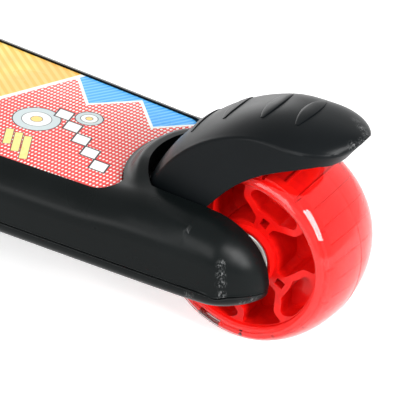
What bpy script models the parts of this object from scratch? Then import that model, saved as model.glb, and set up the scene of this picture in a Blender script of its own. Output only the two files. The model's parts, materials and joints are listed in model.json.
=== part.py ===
"""Three-wheel kick scooter with a folding, height-adjustable bar and a foot brake over the rear wheel.

Frame: +X runs forward, +Y to the rider's left, +Z up. The origin lies on the ground, in the
middle of the scooter's length and width. Lengths are in metres, written as millimetres times MM.
"""

import math

import bmesh
import bpy
from mathutils import Matrix, Vector

MM = 0.001
GAP = 0.3 * MM              # running or seating gap between pieces that touch
THROUGH = 30 * MM           # half length of a tool that cuts right through a small piece

# Wheels
REAR_RADIUS = 40 * MM
FRONT_RADIUS = 60 * MM
TYRE_HALF_WIDTH = 22.4 * MM
TYRE_THICKNESS = 6.8 * MM
TYRE_CROWN = 7.9 * MM       # drop of the tread from its middle to its sides
TYRE_SQUARENESS = 1.82      # exponent of the tread's curve
WHEEL_SEGMENTS = 32         # a multiple of four, so that a corner of the tread touches the ground
RIM_HALF_WIDTH = 19.4 * MM
RIM_THICKNESS = 3.2 * MM
RIB_HALF_WIDTH = 18.2 * MM
BOSS_HALF_WIDTH = 21 * MM
BOSS_WALL = 1.5 * MM
REAR_POCKET_UNITS = 4
FRONT_POCKET_UNITS = 5
POCKET_TURN = 68            # degrees by which the first unit is turned round the axle
BEARING_RADIUS = 11 * MM
BEARING_WIDTH = 7 * MM
AXLE_RADIUS = 4 * MM
AXLE_HEAD = 4 * MM
LIGHT_LENGTH = 15 * MM
LIGHT_DEPTH = 2.4 * MM
LIGHT_HALF_WIDTH = 6 * MM
LIGHT_TURN = 70

# Layout along the ground
AXLE_AHEAD = 98 * MM         # from the deck's front face to the front axle
FRONT_HALF_TRACK = 112 * MM

# Deck
GROUND_CLEARANCE = 27 * MM
DECK_TOP = 57.3 * MM
ARM_TOP = 59 * MM           # the deck rises to this beside the rear wheel
ARM_RISE_START = 36 * MM
ARM_RISE_END = 60 * MM
PARTING_HEIGHT = 34.5 * MM
DECK_WALL = 3 * MM
DECK_HALF_WIDTH = 44.1 * MM  # at the rear axle
DECK_FLARE = 0.063          # growth of the half width with length
ARM_NARROWING = 0.9 * MM
ARM_NARROWING_REACH = 25 * MM
TAIL_OVERHANG = 15 * MM     # rounded tail behind the rear axle
TAIL_TOP_START = 12 * MM
TAIL_SIDE_START = 3 * MM
TAIL_BOTTOM_START = 20 * MM
DECK_LENGTH = 352 * MM      # from the rear axle to the deck's front face
FRONT_ROUND = 117 * MM      # the deck's sides curve in over this last stretch
FRONT_ROUND_REST = 20 * MM  # and would meet this far ahead of its front face
SHOULDER_WIDTH = 16 * MM
SHOULDER_HEIGHT = 13 * MM
LIP_RADIUS = 5 * MM
LIP_INSET = 1.2 * MM        # the lower shell stands back from the upper one by this
WELL_HALF_WIDTH = 26 * MM
WELL_FRONT = 50 * MM
WELL_SKIN = 3 * MM          # what is left of the deck's top over the front of the well
OPENING_CENTRE = 14 * MM    # the well's opening is round in front, about this point
OPENING_RADIUS = 35.2 * MM
COLLAR_WIDTH = 8.8 * MM     # raised collar round the opening's front
COLLAR_RISE = 4.7 * MM
PANEL_MARGIN = 10.5 * MM
PANEL_FOOT_SPACE = 6 * MM   # deck left between the panel and the front frame's foot
PANEL_FRONT_CORNER = 16 * MM
PANEL_TOP_DROP = 1.6 * MM
PANEL_THICKNESS = 1.2 * MM
PANEL_CORNER = 8.1 * MM
PANEL_SEAT = 2.6 * MM       # deck left under the panel
DECK_RIB = 2 * MM
FOOT_BOSS = 14 * MM         # depth of the bosses that the front frame is screwed into

# Foot brake
BRAKE_PIVOT_X = 45 * MM
BRAKE_PIVOT_Z = 48 * MM
BRAKE_PIN_RADIUS = 2.5 * MM
BRAKE_LUG_RADIUS = 4.3 * MM
FENDER_WALL = 1.8 * MM
FENDER_SKIRT_WALL = 1.2 * MM
FENDER_FRONT_RADIUS = 49.2 * MM
FENDER_TAIL_RISE = 15.1 * MM
FENDER_HALF_WIDTH = 22.6 * MM
FENDER_CROWN = 5.4 * MM
FENDER_SKIRT = 27.2 * MM    # from the middle line to the skirt's lower edge, in front
FENDER_SKIRT_RISE = 17.3 * MM
FENDER_TAPER_START = 101
FENDER_FLARE = 0.135
FENDER_START = 12           # degrees above the horizontal, seen from the rear axle
FENDER_END = 122
RIB_ANGLES = (52.0, 69.5, 87.5, 101.5)
RIB_HALF_LENGTHS = (11.5, 11.0, 12.0, 12.0)
SPRING_WIRE = 0.6 * MM
SPRING_RADIUS = 3.5 * MM
SPRING_PITCH = 1.9 * MM
SPRING_TURNS = 5

# Front frame and steering truck
KINGPIN_ANGLE = 45          # degrees from the vertical, leaning forward
KINGPIN_RADIUS = 5 * MM
TRUCK_BOSS_RADIUS = 15.5 * MM
TRUCK_BOSS_HALF = 16.5 * MM
BUSHING_THICKNESS = 8 * MM
PLATE_THICKNESS = 8 * MM
PLATE_REACH = 17 * MM
WEB_GAP = 24 * MM
WEB_THICKNESS = 12 * MM
FRAME_HALF_WIDTH = 27 * MM
FOOT_LENGTH = 60 * MM
FOOT_THICKNESS = 6.5 * MM
FOOT_HALF_WIDTH = 32 * MM
FOOT_BOLT_RADIUS = 3 * MM
FOOT_BOLT_SPREAD = 20 * MM  # from the middle line to each bolt
SPACER_ROOM = 6 * MM        # between a front wheel's boss and the end of the beam
BEAM_END_RADIUS = 12 * MM

# Folding stem
HINGE_AHEAD = 63 * MM       # from the deck's front face to the hinge bolt
HINGE_Z = 122 * MM
HINGE_RADIUS = 4 * MM
EAR_RADIUS = 14 * MM
TONGUE_HALF_WIDTH = 20 * MM
STEM_RAKE = 12              # degrees that the stem leans back
BASE_RADIUS = 21.5 * MM
BASE_LENGTH = 78 * MM
SOCKET_START = 46 * MM
LOWER_TUBE_RADIUS = 17 * MM
LOWER_TUBE_WALL = 1.6 * MM
LOWER_TUBE_TOP = 395 * MM
UPPER_TUBE_RADIUS = 14 * MM
UPPER_TUBE_WALL = 1.6 * MM
UPPER_TUBE_BOTTOM = 300 * MM
BUSH_LENGTH = 30 * MM
BAR_DISTANCE = 682 * MM     # hinge to handlebar along the stem
BUTTON_CENTRE = 28 * MM
BUTTON_TRAVEL = 4 * MM
BUTTON_PROUD = 2.5 * MM

# Clamp and handlebar
COLLAR_WALL = 3.8 * MM
COLLAR_HEIGHT = 26 * MM
CLAMP_OFFSET = 27 * MM
CLAMP_SLOT = 3 * MM
LUG_THICKNESS = 7 * MM
SKEWER_RADIUS = 2.5 * MM
BARREL_RADIUS = 3.2 * MM    # cross pin at the skewer's end, inside the cam
CAM_RADIUS = 6.5 * MM
WASHER_THICKNESS = 3 * MM
LEVER_LENGTH = 50 * MM
LEVER_HALF_HEIGHT = 7 * MM
BAR_RADIUS = 11 * MM
BAR_WALL = 1.6 * MM
BAR_HALF_LENGTH = 145 * MM
TEE_HALF_LENGTH = 26 * MM
TEE_SOCKET = 27 * MM
GRIP_SPACE = 7 * MM         # bare bar between the tee and each grip
GRIP_RADIUS = 15.5 * MM

# Derived sizes
WHEELBASE = DECK_LENGTH + AXLE_AHEAD
HINGE_X = DECK_LENGTH + HINGE_AHEAD
PANEL_FRONT = DECK_LENGTH - FOOT_LENGTH - PANEL_FOOT_SPACE
REAR_AXLE_X = -(WHEELBASE + FRONT_RADIUS - REAR_RADIUS) / 2
REAR_AXLE_Z = REAR_RADIUS
BEAM_HALF_LENGTH = FRONT_HALF_TRACK - BOSS_HALF_WIDTH - SPACER_ROOM
FRONT_AXLE = Vector((REAR_AXLE_X + WHEELBASE, 0, FRONT_RADIUS))
BOSS_RADIUS = BEARING_RADIUS + GAP + BOSS_WALL
BLACK = (0.020, 0.022, 0.023)


def clear_scene():
    for obj in list(bpy.data.objects):
        bpy.data.objects.remove(obj, do_unlink=True)


def new_collection(name):
    collection = bpy.data.collections.new(name)
    bpy.context.scene.collection.children.link(collection)
    return collection


clear_scene()
PARTS = new_collection("kick_scooter")
CUTTERS = new_collection("cutters")


def material(name, colour, roughness, metallic=0.0):
    mat = bpy.data.materials.get(name)
    if mat is None:
        mat = bpy.data.materials.new(name)
        mat.use_nodes = True
        shader = mat.node_tree.nodes["Principled BSDF"]
        shader.inputs["Base Color"].default_value = (*colour, 1)
        shader.inputs["Roughness"].default_value = roughness
        shader.inputs["Metallic"].default_value = metallic
        mat.diffuse_color = (*colour, 1)
    return mat


def new_object(name, mesh, collection=None):
    obj = bpy.data.objects.new(name, mesh)
    (collection or PARTS).objects.link(obj)
    return obj


def empty(name, location, rotation=(0, 0, 0), parent=None):
    obj = bpy.data.objects.new(name, None)
    PARTS.objects.link(obj)
    obj.location = location
    obj.rotation_euler = [math.radians(a) for a in rotation]
    obj.parent = parent
    return obj


def place(obj, parent, location=(0, 0, 0), rotation=(0, 0, 0)):
    obj.parent = parent
    obj.location = location
    obj.rotation_euler = [math.radians(a) for a in rotation]
    return obj


def paint(obj, mat):
    obj.data.materials.clear()
    obj.data.materials.append(mat)
    return obj


def mesh_of(name, bm, smooth=False):
    bmesh.ops.recalc_face_normals(bm, faces=bm.faces)
    mesh = bpy.data.meshes.new(name)
    bm.to_mesh(mesh)
    bm.free()
    if smooth:
        mesh.shade_smooth()
        mesh.set_sharp_from_angle(angle=math.radians(35))
    return mesh


def box(name, low, high):
    """A block from its lowest to its highest corner."""
    bm = bmesh.new()
    bmesh.ops.create_cube(bm, size=1)
    low, high = Vector(low), Vector(high)
    bmesh.ops.scale(bm, vec=high - low, verts=bm.verts)
    bmesh.ops.translate(bm, vec=(high + low) / 2, verts=bm.verts)
    return new_object(name, mesh_of(name, bm))


def rod(name, radius, start, end, segments=24):
    """A cylinder between two points."""
    start, end = Vector(start), Vector(end)
    bm = bmesh.new()
    length = (end - start).length
    bmesh.ops.create_cone(bm, cap_ends=True, segments=segments, radius1=radius, radius2=radius,
                          depth=length)
    turn = (end - start).to_track_quat("Z", "Y").to_matrix().to_4x4()
    bmesh.ops.transform(bm, matrix=Matrix.Translation((start + end) / 2) @ turn, verts=bm.verts)
    return new_object(name, mesh_of(name, bm, smooth=True))


def turned(name, profile, segments, closed=True):
    """A turned piece: the profile's (radius, height) points run down its outer side."""
    mesh = bpy.data.meshes.new(name)
    count = len(profile)
    edges = [(i, i + 1) for i in range(count - 1)]
    if closed:
        edges.append((count - 1, 0))
    mesh.from_pydata([(r, 0, h) for r, h in profile], edges, [])
    obj = new_object(name, mesh)
    screw = obj.modifiers.new("turn", "SCREW")
    screw.axis = "Z"
    screw.steps = screw.render_steps = segments
    screw.use_merge_vertices = True
    screw.merge_threshold = 0.00001
    return obj


def loft(name, rings, smooth=True):
    """A closed skin over rings of equally many points, with flat end caps."""
    bm = bmesh.new()
    rows = [[bm.verts.new(p) for p in ring] for ring in rings]
    count = len(rows[0])
    for near, far in zip(rows, rows[1:]):
        for i in range(count):
            j = (i + 1) % count
            bm.faces.new((near[i], near[j], far[j], far[i]))
    bm.faces.new(rows[0])
    bm.faces.new(rows[-1])
    bmesh.ops.triangulate(bm, faces=bm.faces)
    return new_object(name, mesh_of(name, bm, smooth))


def prism(name, loops, half_depth):
    """A flat outline with holes, given in X and Y, as thick as twice half_depth along Z."""
    curve = bpy.data.curves.new(name, "CURVE")
    curve.dimensions = "2D"
    curve.fill_mode = "BOTH"
    curve.extrude = half_depth
    for loop in loops:
        spline = curve.splines.new("POLY")
        spline.points.add(len(loop) - 1)
        for point, (x, y) in zip(spline.points, loop):
            point.co = (x, y, 0, 1)
        spline.use_cyclic_u = True
    return meshed(new_object(name, curve))


def meshed(curve_object):
    """The same shape as a mesh, with its caps welded on."""
    name = curve_object.name
    depsgraph = bpy.context.evaluated_depsgraph_get()
    mesh = bpy.data.meshes.new_from_object(curve_object.evaluated_get(depsgraph))
    bm = bmesh.new()
    bm.from_mesh(mesh)
    bmesh.ops.remove_doubles(bm, verts=bm.verts, dist=0.000002)
    place_matrix = curve_object.matrix_world.copy()
    bpy.data.objects.remove(curve_object, do_unlink=True)
    bpy.data.meshes.remove(mesh)
    obj = new_object(name, mesh_of(name, bm))
    obj.matrix_world = place_matrix
    return obj


def upright(obj):
    """Turns an outline drawn in X and Y so that its Y points up and its thickness runs along Y."""
    obj.data.transform(Matrix.Rotation(math.radians(90), 4, "X"))
    return obj


def boolean(obj, tool, operation="DIFFERENCE"):
    for collection in list(tool.users_collection):
        collection.objects.unlink(tool)
    CUTTERS.objects.link(tool)
    tool.hide_render = True
    tool.display_type = "WIRE"
    if tool.parent is None and obj.parent is not None:
        tool.parent = obj.parent
    modifier = obj.modifiers.new(tool.name, "BOOLEAN")
    modifier.operation = operation
    modifier.solver = "EXACT"
    modifier.object = tool
    return obj


def cut(obj, *tools):
    for tool in tools:
        boolean(obj, tool)
    return obj


def join(obj, *tools):
    for tool in tools:
        boolean(obj, tool, "UNION")
    return obj


def rounded(obj, width, segments=2, angle=40):
    bevel = obj.modifiers.new("edges", "BEVEL")
    bevel.width = width
    bevel.segments = segments
    bevel.limit_method = "ANGLE"
    bevel.angle_limit = math.radians(angle)
    return obj


def arc(cx, cy, radius, start, end, steps):
    """Points on a circle from one angle to another, in degrees."""
    angles = [math.radians(start + (end - start) * i / steps) for i in range(steps + 1)]
    return [(cx + radius * math.cos(a), cy + radius * math.sin(a)) for a in angles]


def round_off(t, power):
    """How much of a size is left at the share t of the way into a rounded end."""
    return (1 - min(max(t, 0), 1) ** power) ** (1 / power)


def smooth_step(value, start, end):
    t = min(max((value - start) / (end - start), 0), 1)
    return t * t * (3 - 2 * t)


PLASTIC = material("black_plastic", BLACK, 0.42)
DARK_PLASTIC = material("frame_plastic", (0.024, 0.025, 0.027), 0.5)
STEEL = material("zinc_steel", (0.62, 0.62, 0.60), 0.32, 1.0)
ALUMINIUM = material("tube_aluminium", (0.72, 0.73, 0.75), 0.28, 1.0)
CORE_RED = material("core_red", (0.80, 0.012, 0.010), 0.35)
CLEAR_TYRE = material("clear_tyre", (0.95, 0.45, 0.42), 0.12)
PANEL_PRINT = material("panel_print", (0.90, 0.42, 0.36), 0.45)
BUSHING = material("elastomer", (0.75, 0.08, 0.05), 0.55)
RUBBER = material("grip_rubber", (0.018, 0.018, 0.02), 0.8)
NYLON = material("nylon", (0.86, 0.85, 0.82), 0.5)
CIRCUIT = material("light_module", (0.35, 0.34, 0.33), 0.5)

# One empty for each moving body, on its joint's axis
WHEEL_TURN = (-90, 0, 0)
REAR_HUB = empty("rear_wheel_axis", (REAR_AXLE_X, 0, REAR_AXLE_Z), WHEEL_TURN)
BRAKE = empty("brake_axis", (REAR_AXLE_X + BRAKE_PIVOT_X, 0, BRAKE_PIVOT_Z))
TRUCK = empty("truck_axis", FRONT_AXLE, (0, KINGPIN_ANGLE, 0))
STEM = empty("stem_axis", (REAR_AXLE_X + HINGE_X, 0, HINGE_Z), (0, -STEM_RAKE, 0))
UPPER = empty("upper_stem_axis", (0, 0, BAR_DISTANCE), parent=STEM)
FRONT_HUBS = {side: empty(f"front_wheel_{side}_axis", (0, sign * FRONT_HALF_TRACK, 0),
                          WHEEL_TURN, TRUCK)
              for side, sign in (("left", 1), ("right", -1))}


def deck_half_width(x):
    width = DECK_HALF_WIDTH + DECK_FLARE * x
    width -= ARM_NARROWING * math.exp(-x / ARM_NARROWING_REACH)
    front = (x - DECK_LENGTH + FRONT_ROUND) / (FRONT_ROUND + FRONT_ROUND_REST)
    arm = (width - WELL_HALF_WIDTH) * round_off(tail_share(x, TAIL_SIDE_START), 1.7)
    return (WELL_HALF_WIDTH + arm) * round_off(front, 2.4)


def tail_share(x, start):
    """How far along the rounded tail a place is, from its start at 0 to its end at 1."""
    return (start - x) / (start + TAIL_OVERHANG + GAP)


def deck_top(x):
    rise = (ARM_TOP - DECK_TOP) * (1 - smooth_step(x, ARM_RISE_START, ARM_RISE_END))
    height = DECK_TOP + rise - PARTING_HEIGHT
    return PARTING_HEIGHT + height * round_off(tail_share(x, TAIL_TOP_START), 2)


def deck_bottom(x):
    depth = (PARTING_HEIGHT - GROUND_CLEARANCE) * round_off(tail_share(x, TAIL_BOTTOM_START), 3)
    return PARTING_HEIGHT - depth


def deck_stations(start):
    """Distances from the rear axle at which the deck's sections lie, close together at the tail."""
    reach = TAIL_TOP_START + TAIL_OVERHANG
    tail = [TAIL_TOP_START - reach * math.sin(math.radians(a)) for a in (85, 74, 62, 48, 32, 12)]
    rear = [ARM_RISE_START + (ARM_RISE_END - ARM_RISE_START) * k for k in (0, 0.33, 0.67, 1)]
    middle = [DECK_LENGTH * k for k in (0.32, 0.665, 0.77, 0.86, 0.94)]
    return [x for x in tail + rear + middle if x > start + MM] + [DECK_LENGTH]


def upper_section(x, inset, top_inset, floor, steps):
    """Half-outline of the upper shell at x, from the parting plane up to the edge of its flat top."""
    width = deck_half_width(x) - inset
    top = deck_top(x) - top_inset
    across = max(min(SHOULDER_WIDTH, deck_half_width(x) - WELL_HALF_WIDTH) - inset, MM)
    down = min(SHOULDER_HEIGHT - inset, (top - PARTING_HEIGHT) * 0.7)
    points = [(width, floor), (width, top - down)]
    for k in range(1, steps + 1):
        a = math.radians(90 * k / steps)
        points.append((width - across + across * math.cos(a), top - down + down * math.sin(a)))
    return points


def lower_section(x, inset, ceiling):
    """Half-outline of the lower shell at x, from the parting plane down to the middle below."""
    width = deck_half_width(x) - LIP_INSET - inset
    bottom = deck_bottom(x) + inset
    radius = min(LIP_RADIUS, (PARTING_HEIGHT - deck_bottom(x)) * 0.8) - min(inset, LIP_RADIUS * 0.5)
    points = [(width, ceiling)]
    points += [(width - radius + radius * math.cos(math.radians(a)),
                bottom + radius - radius * math.sin(math.radians(a))) for a in (0, 30, 60, 90)]
    return points


def deck_ring(x, half):
    mirrored = [(-y, z) for y, z in reversed(half)]
    return [Vector((REAR_AXLE_X + x, y, z)) for y, z in half + mirrored]


def well_outline():
    """Plan of the well's opening in the deck's top, open to the rear, with a round front."""
    half = WELL_HALF_WIDTH
    edge = math.degrees(math.asin(half / OPENING_RADIUS))
    front = arc(REAR_AXLE_X + OPENING_CENTRE, 0, OPENING_RADIUS, -edge, edge, 9)
    rear = REAR_AXLE_X - 2 * TAIL_OVERHANG
    return [(rear, half), (rear, -half)] + front


def well_box(name, margin, low, high):
    """The well below the deck's top, a plain rectangle open to the rear."""
    half = WELL_HALF_WIDTH + margin
    front = REAR_AXLE_X + WELL_FRONT + margin
    return box(name, (REAR_AXLE_X - 2 * TAIL_OVERHANG, -half, low), (front, half, high))


def opening_collar():
    """The raised collar round the front of the well's opening, highest in the middle."""
    rings = []
    inner, outer = OPENING_RADIUS - 2 * MM, OPENING_RADIUS + COLLAR_WIDTH
    low = DECK_TOP - 2 * MM
    for degrees in (-62, -50, -40, -30, -18, -6, 6, 18, 30, 40, 50, 62):
        a = math.radians(degrees)
        fall = smooth_step(abs(degrees), 20, 60)
        high = DECK_TOP + COLLAR_RISE * (1 - fall) + (ARM_TOP - DECK_TOP - MM) * fall
        section = [(inner, low), (inner, high - 0.4 * MM), (OPENING_RADIUS + 1.5 * MM, high),
                   (outer - 4 * MM, high - 0.3 * MM), (outer - 1.6 * MM, high - 1.6 * MM), (outer, low)]
        rings.append([Vector((REAR_AXLE_X + OPENING_CENTRE + r * math.cos(a), r * math.sin(a), z))
                      for r, z in section])
    return loft("opening_collar", rings)


def slab(name, outline, low, high):
    """An outline in plan as a block between two heights."""
    obj = prism(name, [outline], (high - low) / 2)
    obj.data.transform(Matrix.Translation((0, 0, (high + low) / 2)))
    return obj


def panel_outline(inset):
    """Plan of the printed panel: a notch round the collar, sides along the deck, a round front."""
    radius = OPENING_RADIUS + COLLAR_WIDTH + GAP + inset
    notch = [(OPENING_CENTRE + x, y) for x, y in arc(0, 0, radius, 0, 37, 4)]
    centre_x = notch[-1][0] - inset + PANEL_CORNER
    centre_y = deck_half_width(centre_x) - PANEL_MARGIN - PANEL_CORNER
    corner = arc(centre_x, centre_y, PANEL_CORNER - inset, 175, 92, 4)
    straight_end = PANEL_FRONT - PANEL_FRONT_CORNER
    sides = []
    for k in range(1, 6):
        x = centre_x + (straight_end - centre_x) * k / 5
        sides.append((x, deck_half_width(x) - PANEL_MARGIN - inset))
    front = arc(straight_end, sides[-1][1] - PANEL_FRONT_CORNER + inset, PANEL_FRONT_CORNER - inset,
                65, 0, 3)
    half_outline = notch + corner + sides + front
    points = [(REAR_AXLE_X + x, y) for x, y in half_outline]
    return points + [(x, -y) for x, y in reversed(points[1:])]


def rear_axle_slot(name, radius, start, end):
    """A slot from below up to the rear axle, round at its top, across one stretch of Y."""
    top = arc(REAR_AXLE_X, REAR_AXLE_Z, radius, 0, 180, 8)
    bottom = PARTING_HEIGHT - 3 * MM
    outline = top + [(REAR_AXLE_X - radius, bottom), (REAR_AXLE_X + radius, bottom)]
    obj = upright(prism(name, [outline], (end - start) / 2))
    obj.data.transform(Matrix.Translation((0, (start + end) / 2, 0)))
    return obj


def hollow_stations():
    """Sections of the shells' insides, from behind the axle's ends to the front wall."""
    start = DECK_WALL - TAIL_OVERHANG + 4 * MM
    return [start] + deck_stations(start)[:-1] + [DECK_LENGTH - DECK_WALL]


def build_deck_top():
    """The upper deck shell: walls, well walls, cross ribs and the arms that carry the rear axle."""
    floor = PARTING_HEIGHT + GAP / 2
    stations = deck_stations(-TAIL_OVERHANG)
    shell = loft("deck_top_shell", [deck_ring(x, upper_section(x, 0, 0, floor, 5)) for x in stations])
    low = PARTING_HEIGHT - 4 * MM
    join(shell, opening_collar())
    panel_skin = PANEL_TOP_DROP + PANEL_THICKNESS + PANEL_SEAT
    hollow_rings = []
    for x in hollow_stations():
        skin = DECK_WALL + (panel_skin - DECK_WALL) * smooth_step(x, ARM_RISE_START, WELL_FRONT)
        hollow_rings.append(deck_ring(x, upper_section(x, DECK_WALL, skin, low, 2)))
    hollow = loft("deck_hollow", hollow_rings)
    high = DECK_TOP + 10 * MM
    cut(hollow, well_box("well_wall", DECK_WALL, low - MM, high))
    for k, share in enumerate((0.29, 0.46, 0.63, 0.80)):
        x = REAR_AXLE_X + DECK_LENGTH * share
        cut(hollow, box(f"cross_rib_{k}", (x - DECK_RIB / 2, -2 * DECK_HALF_WIDTH, low - MM),
                        (x + DECK_RIB / 2, 2 * DECK_HALF_WIDTH, high)))
    for k, (x, y) in enumerate(foot_bolt_places()):
        cut(hollow, rod(f"foot_boss_{k}", 2 * FOOT_BOLT_RADIUS, (x, y, DECK_TOP - FOOT_BOSS),
                        (x, y, high), 12))
    for k, y in enumerate((-11 * MM, 11 * MM)):
        cut(hollow, box(f"long_rib_{k}",
                        (REAR_AXLE_X + WELL_FRONT, y - DECK_RIB / 2, low - MM),
                        (REAR_AXLE_X + DECK_LENGTH, y + DECK_RIB / 2, high)))
    cut(shell, hollow)
    cut(shell, slab("well_opening", well_outline(), ARM_TOP - WELL_SKIN - MM, high))
    cut(shell, well_box("well", 0, PARTING_HEIGHT - 10 * MM, ARM_TOP - WELL_SKIN))
    panel_floor = DECK_TOP - PANEL_TOP_DROP - PANEL_THICKNESS - GAP
    cut(shell, slab("panel_recess", panel_outline(0), panel_floor, high))
    head_start = WELL_HALF_WIDTH + DECK_WALL
    for side, sign in (("left", 1), ("right", -1)):
        a, b = sorted((sign * (WELL_HALF_WIDTH - MM), sign * (head_start + MM)))
        cut(shell, rear_axle_slot(f"axle_slot_{side}", AXLE_RADIUS + GAP, a, b))
    cut(shell, rod("brake_pin_bore", BRAKE_PIN_RADIUS + GAP,
                   (REAR_AXLE_X + BRAKE_PIVOT_X, -WELL_HALF_WIDTH - DECK_WALL - MM, BRAKE_PIVOT_Z),
                   (REAR_AXLE_X + BRAKE_PIVOT_X, WELL_HALF_WIDTH + DECK_WALL + MM, BRAKE_PIVOT_Z), 16))
    for k, (x, y) in enumerate(foot_bolt_places()):
        cut(shell, rod(f"foot_bolt_bore_{k}", FOOT_BOLT_RADIUS + GAP, (x, y, DECK_TOP - FOOT_BOSS - MM),
                       (x, y, DECK_TOP + MM), 12))
    paint(shell, PLASTIC)


def build_deck_bottom():
    """The shallow lower shell: a tray with the saddles that close the axle slots."""
    ceiling = PARTING_HEIGHT - GAP / 2
    stations = deck_stations(-TAIL_OVERHANG)
    tray = loft("deck_bottom_shell", [deck_ring(x, lower_section(x, 0, ceiling)) for x in stations])
    hollow = loft("tray_hollow", [deck_ring(x, lower_section(x, DECK_WALL, ceiling + MM))
                                  for x in hollow_stations()])
    cut(hollow, well_box("tray_well_wall", DECK_WALL, 0, DECK_TOP))
    cut(tray, hollow)
    for side, sign in (("left", 1), ("right", -1)):
        a, b = sorted((sign * (WELL_HALF_WIDTH + GAP), sign * (WELL_HALF_WIDTH + DECK_WALL - GAP)))
        saddle = box(f"axle_saddle_{side}",
                     (REAR_AXLE_X - AXLE_RADIUS, a, PARTING_HEIGHT - 2 * MM),
                     (REAR_AXLE_X + AXLE_RADIUS, b, REAR_AXLE_Z - AXLE_RADIUS - GAP))
        join(tray, saddle)
    cut(tray, well_box("tray_well", 0, 0, DECK_TOP))
    paint(tray, PLASTIC)


def build_panel():
    top = DECK_TOP - PANEL_TOP_DROP
    panel = slab("deck_panel", panel_outline(GAP), top - PANEL_THICKNESS, top)
    paint(panel, PANEL_PRINT)


def build_rear_axle():
    """Axle bolt, nut, spacers and the magnet sleeve that works the light, along the rear axle."""
    head_start = WELL_HALF_WIDTH + DECK_WALL + GAP
    head_end = head_start + AXLE_HEAD
    axle = turned("rear_axle_bolt", [(0, head_end), (5.5 * MM, head_end), (6.5 * MM, head_end - MM),
                                     (6.5 * MM, head_start), (AXLE_RADIUS, head_start),
                                     (AXLE_RADIUS, -head_end), (0, -head_end)], 16, closed=False)
    place(paint(axle, STEEL), None, REAR_HUB.location, WHEEL_TURN)
    nut = hex_nut("rear_axle_nut", 6.9 * MM, AXLE_RADIUS, -head_start, 0.5 * MM - head_end)
    place(nut, None, REAR_HUB.location, WHEEL_TURN)
    for side, sign in (("left", 1), ("right", -1)):
        spacer = bearing_spacer(f"rear_spacer_{side}", BOSS_HALF_WIDTH, WELL_HALF_WIDTH, sign)
        place(spacer, None, REAR_HUB.location, WHEEL_TURN)
    place(magnet_sleeve("rear_magnet_sleeve"), None, REAR_HUB.location, WHEEL_TURN)


def hex_nut(name, radius, bore, start, end):
    """A six-sided nut between two heights, its bore clear of a bolt of the given radius."""
    inside = (bore + GAP) / math.cos(math.radians(30))
    high, low = max(start, end), min(start, end)
    nut = turned(name, [(radius, high), (radius, low), (inside, low), (inside, high)], 6)
    return paint(nut, STEEL)


def bearing_spacer(name, inner, outer, sign):
    """A flanged sleeve on the axle, from the bearing's face to the arm or beam beside it."""
    start, end = inner + GAP, outer - GAP
    flange = start + 1.1 * MM
    bore = AXLE_RADIUS + GAP
    profile = [(10 * MM, flange), (10 * MM, start), (bore, start), (bore, end), (6.5 * MM, end),
               (6.5 * MM, flange)]
    if sign < 0:
        profile = [(r, -h) for r, h in reversed(profile)]
    return paint(turned(name, profile, 12), NYLON)


def magnet_sleeve(name):
    """The ring magnet on the axle between the bearings, which lights the wheel as it turns."""
    half = BOSS_HALF_WIDTH - BEARING_WIDTH - 2 * GAP
    return paint(turned(name, [(7.4 * MM, half), (7.4 * MM, -half), (AXLE_RADIUS + GAP, -half),
                               (AXLE_RADIUS + GAP, half)], 16), STEEL)


def tyre_radius(radius, height):
    share = min(abs(height) / TYRE_HALF_WIDTH, 1)
    side = radius - TYRE_CROWN
    return side + TYRE_CROWN * round_off(share, TYRE_SQUARENESS)


def build_tyre(name, radius, hub):
    """The clear tyre: a crowned tread, rounded sides and a bore round the core."""
    bore = radius - TYRE_THICKNESS + GAP
    shares = (0.96, 0.83, 0.52, 0, -0.52, -0.83, -0.96)
    tread = [(tyre_radius(radius, TYRE_HALF_WIDTH * s), TYRE_HALF_WIDTH * s) for s in shares]
    inner = RIM_HALF_WIDTH + 0.8 * MM
    profile = tread + [(bore, -inner), (bore, inner)]
    place(paint(turned(name, profile, WHEEL_SEGMENTS), CLEAR_TYRE), hub)


def polar(radius, degrees):
    return (radius * math.cos(math.radians(degrees)), radius * math.sin(math.radians(degrees)))


def mirrored_outline(half):
    """A closed outline from (radius, angle) points on one side of its middle line."""
    return [polar(r, a) for r, a in half] + [polar(r, -a) for r, a in reversed(half) if a > 0]


def pocket_shapes(rim, boss, units):
    """The three pocket outlines of a core, centred on angle 0, from its rim and boss radii."""
    spread = REAR_POCKET_UNITS / units

    def at(share, degrees):
        return (boss + (rim - boss) * share, degrees * spread)

    outer = mirrored_outline([at(1, 0), at(1, 14), at(0.8, 23.4), at(0.51, 13.5)])
    cell = mirrored_outline([at(0.375, 4.6), at(0.16, 5.6)])
    between = mirrored_outline([at(1, 0), at(1, 16), at(0.67, 15.8), at(0.3, 31.8), at(0.1, 31.6),
                                at(0.1, 0)])
    return outer, cell, between


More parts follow.
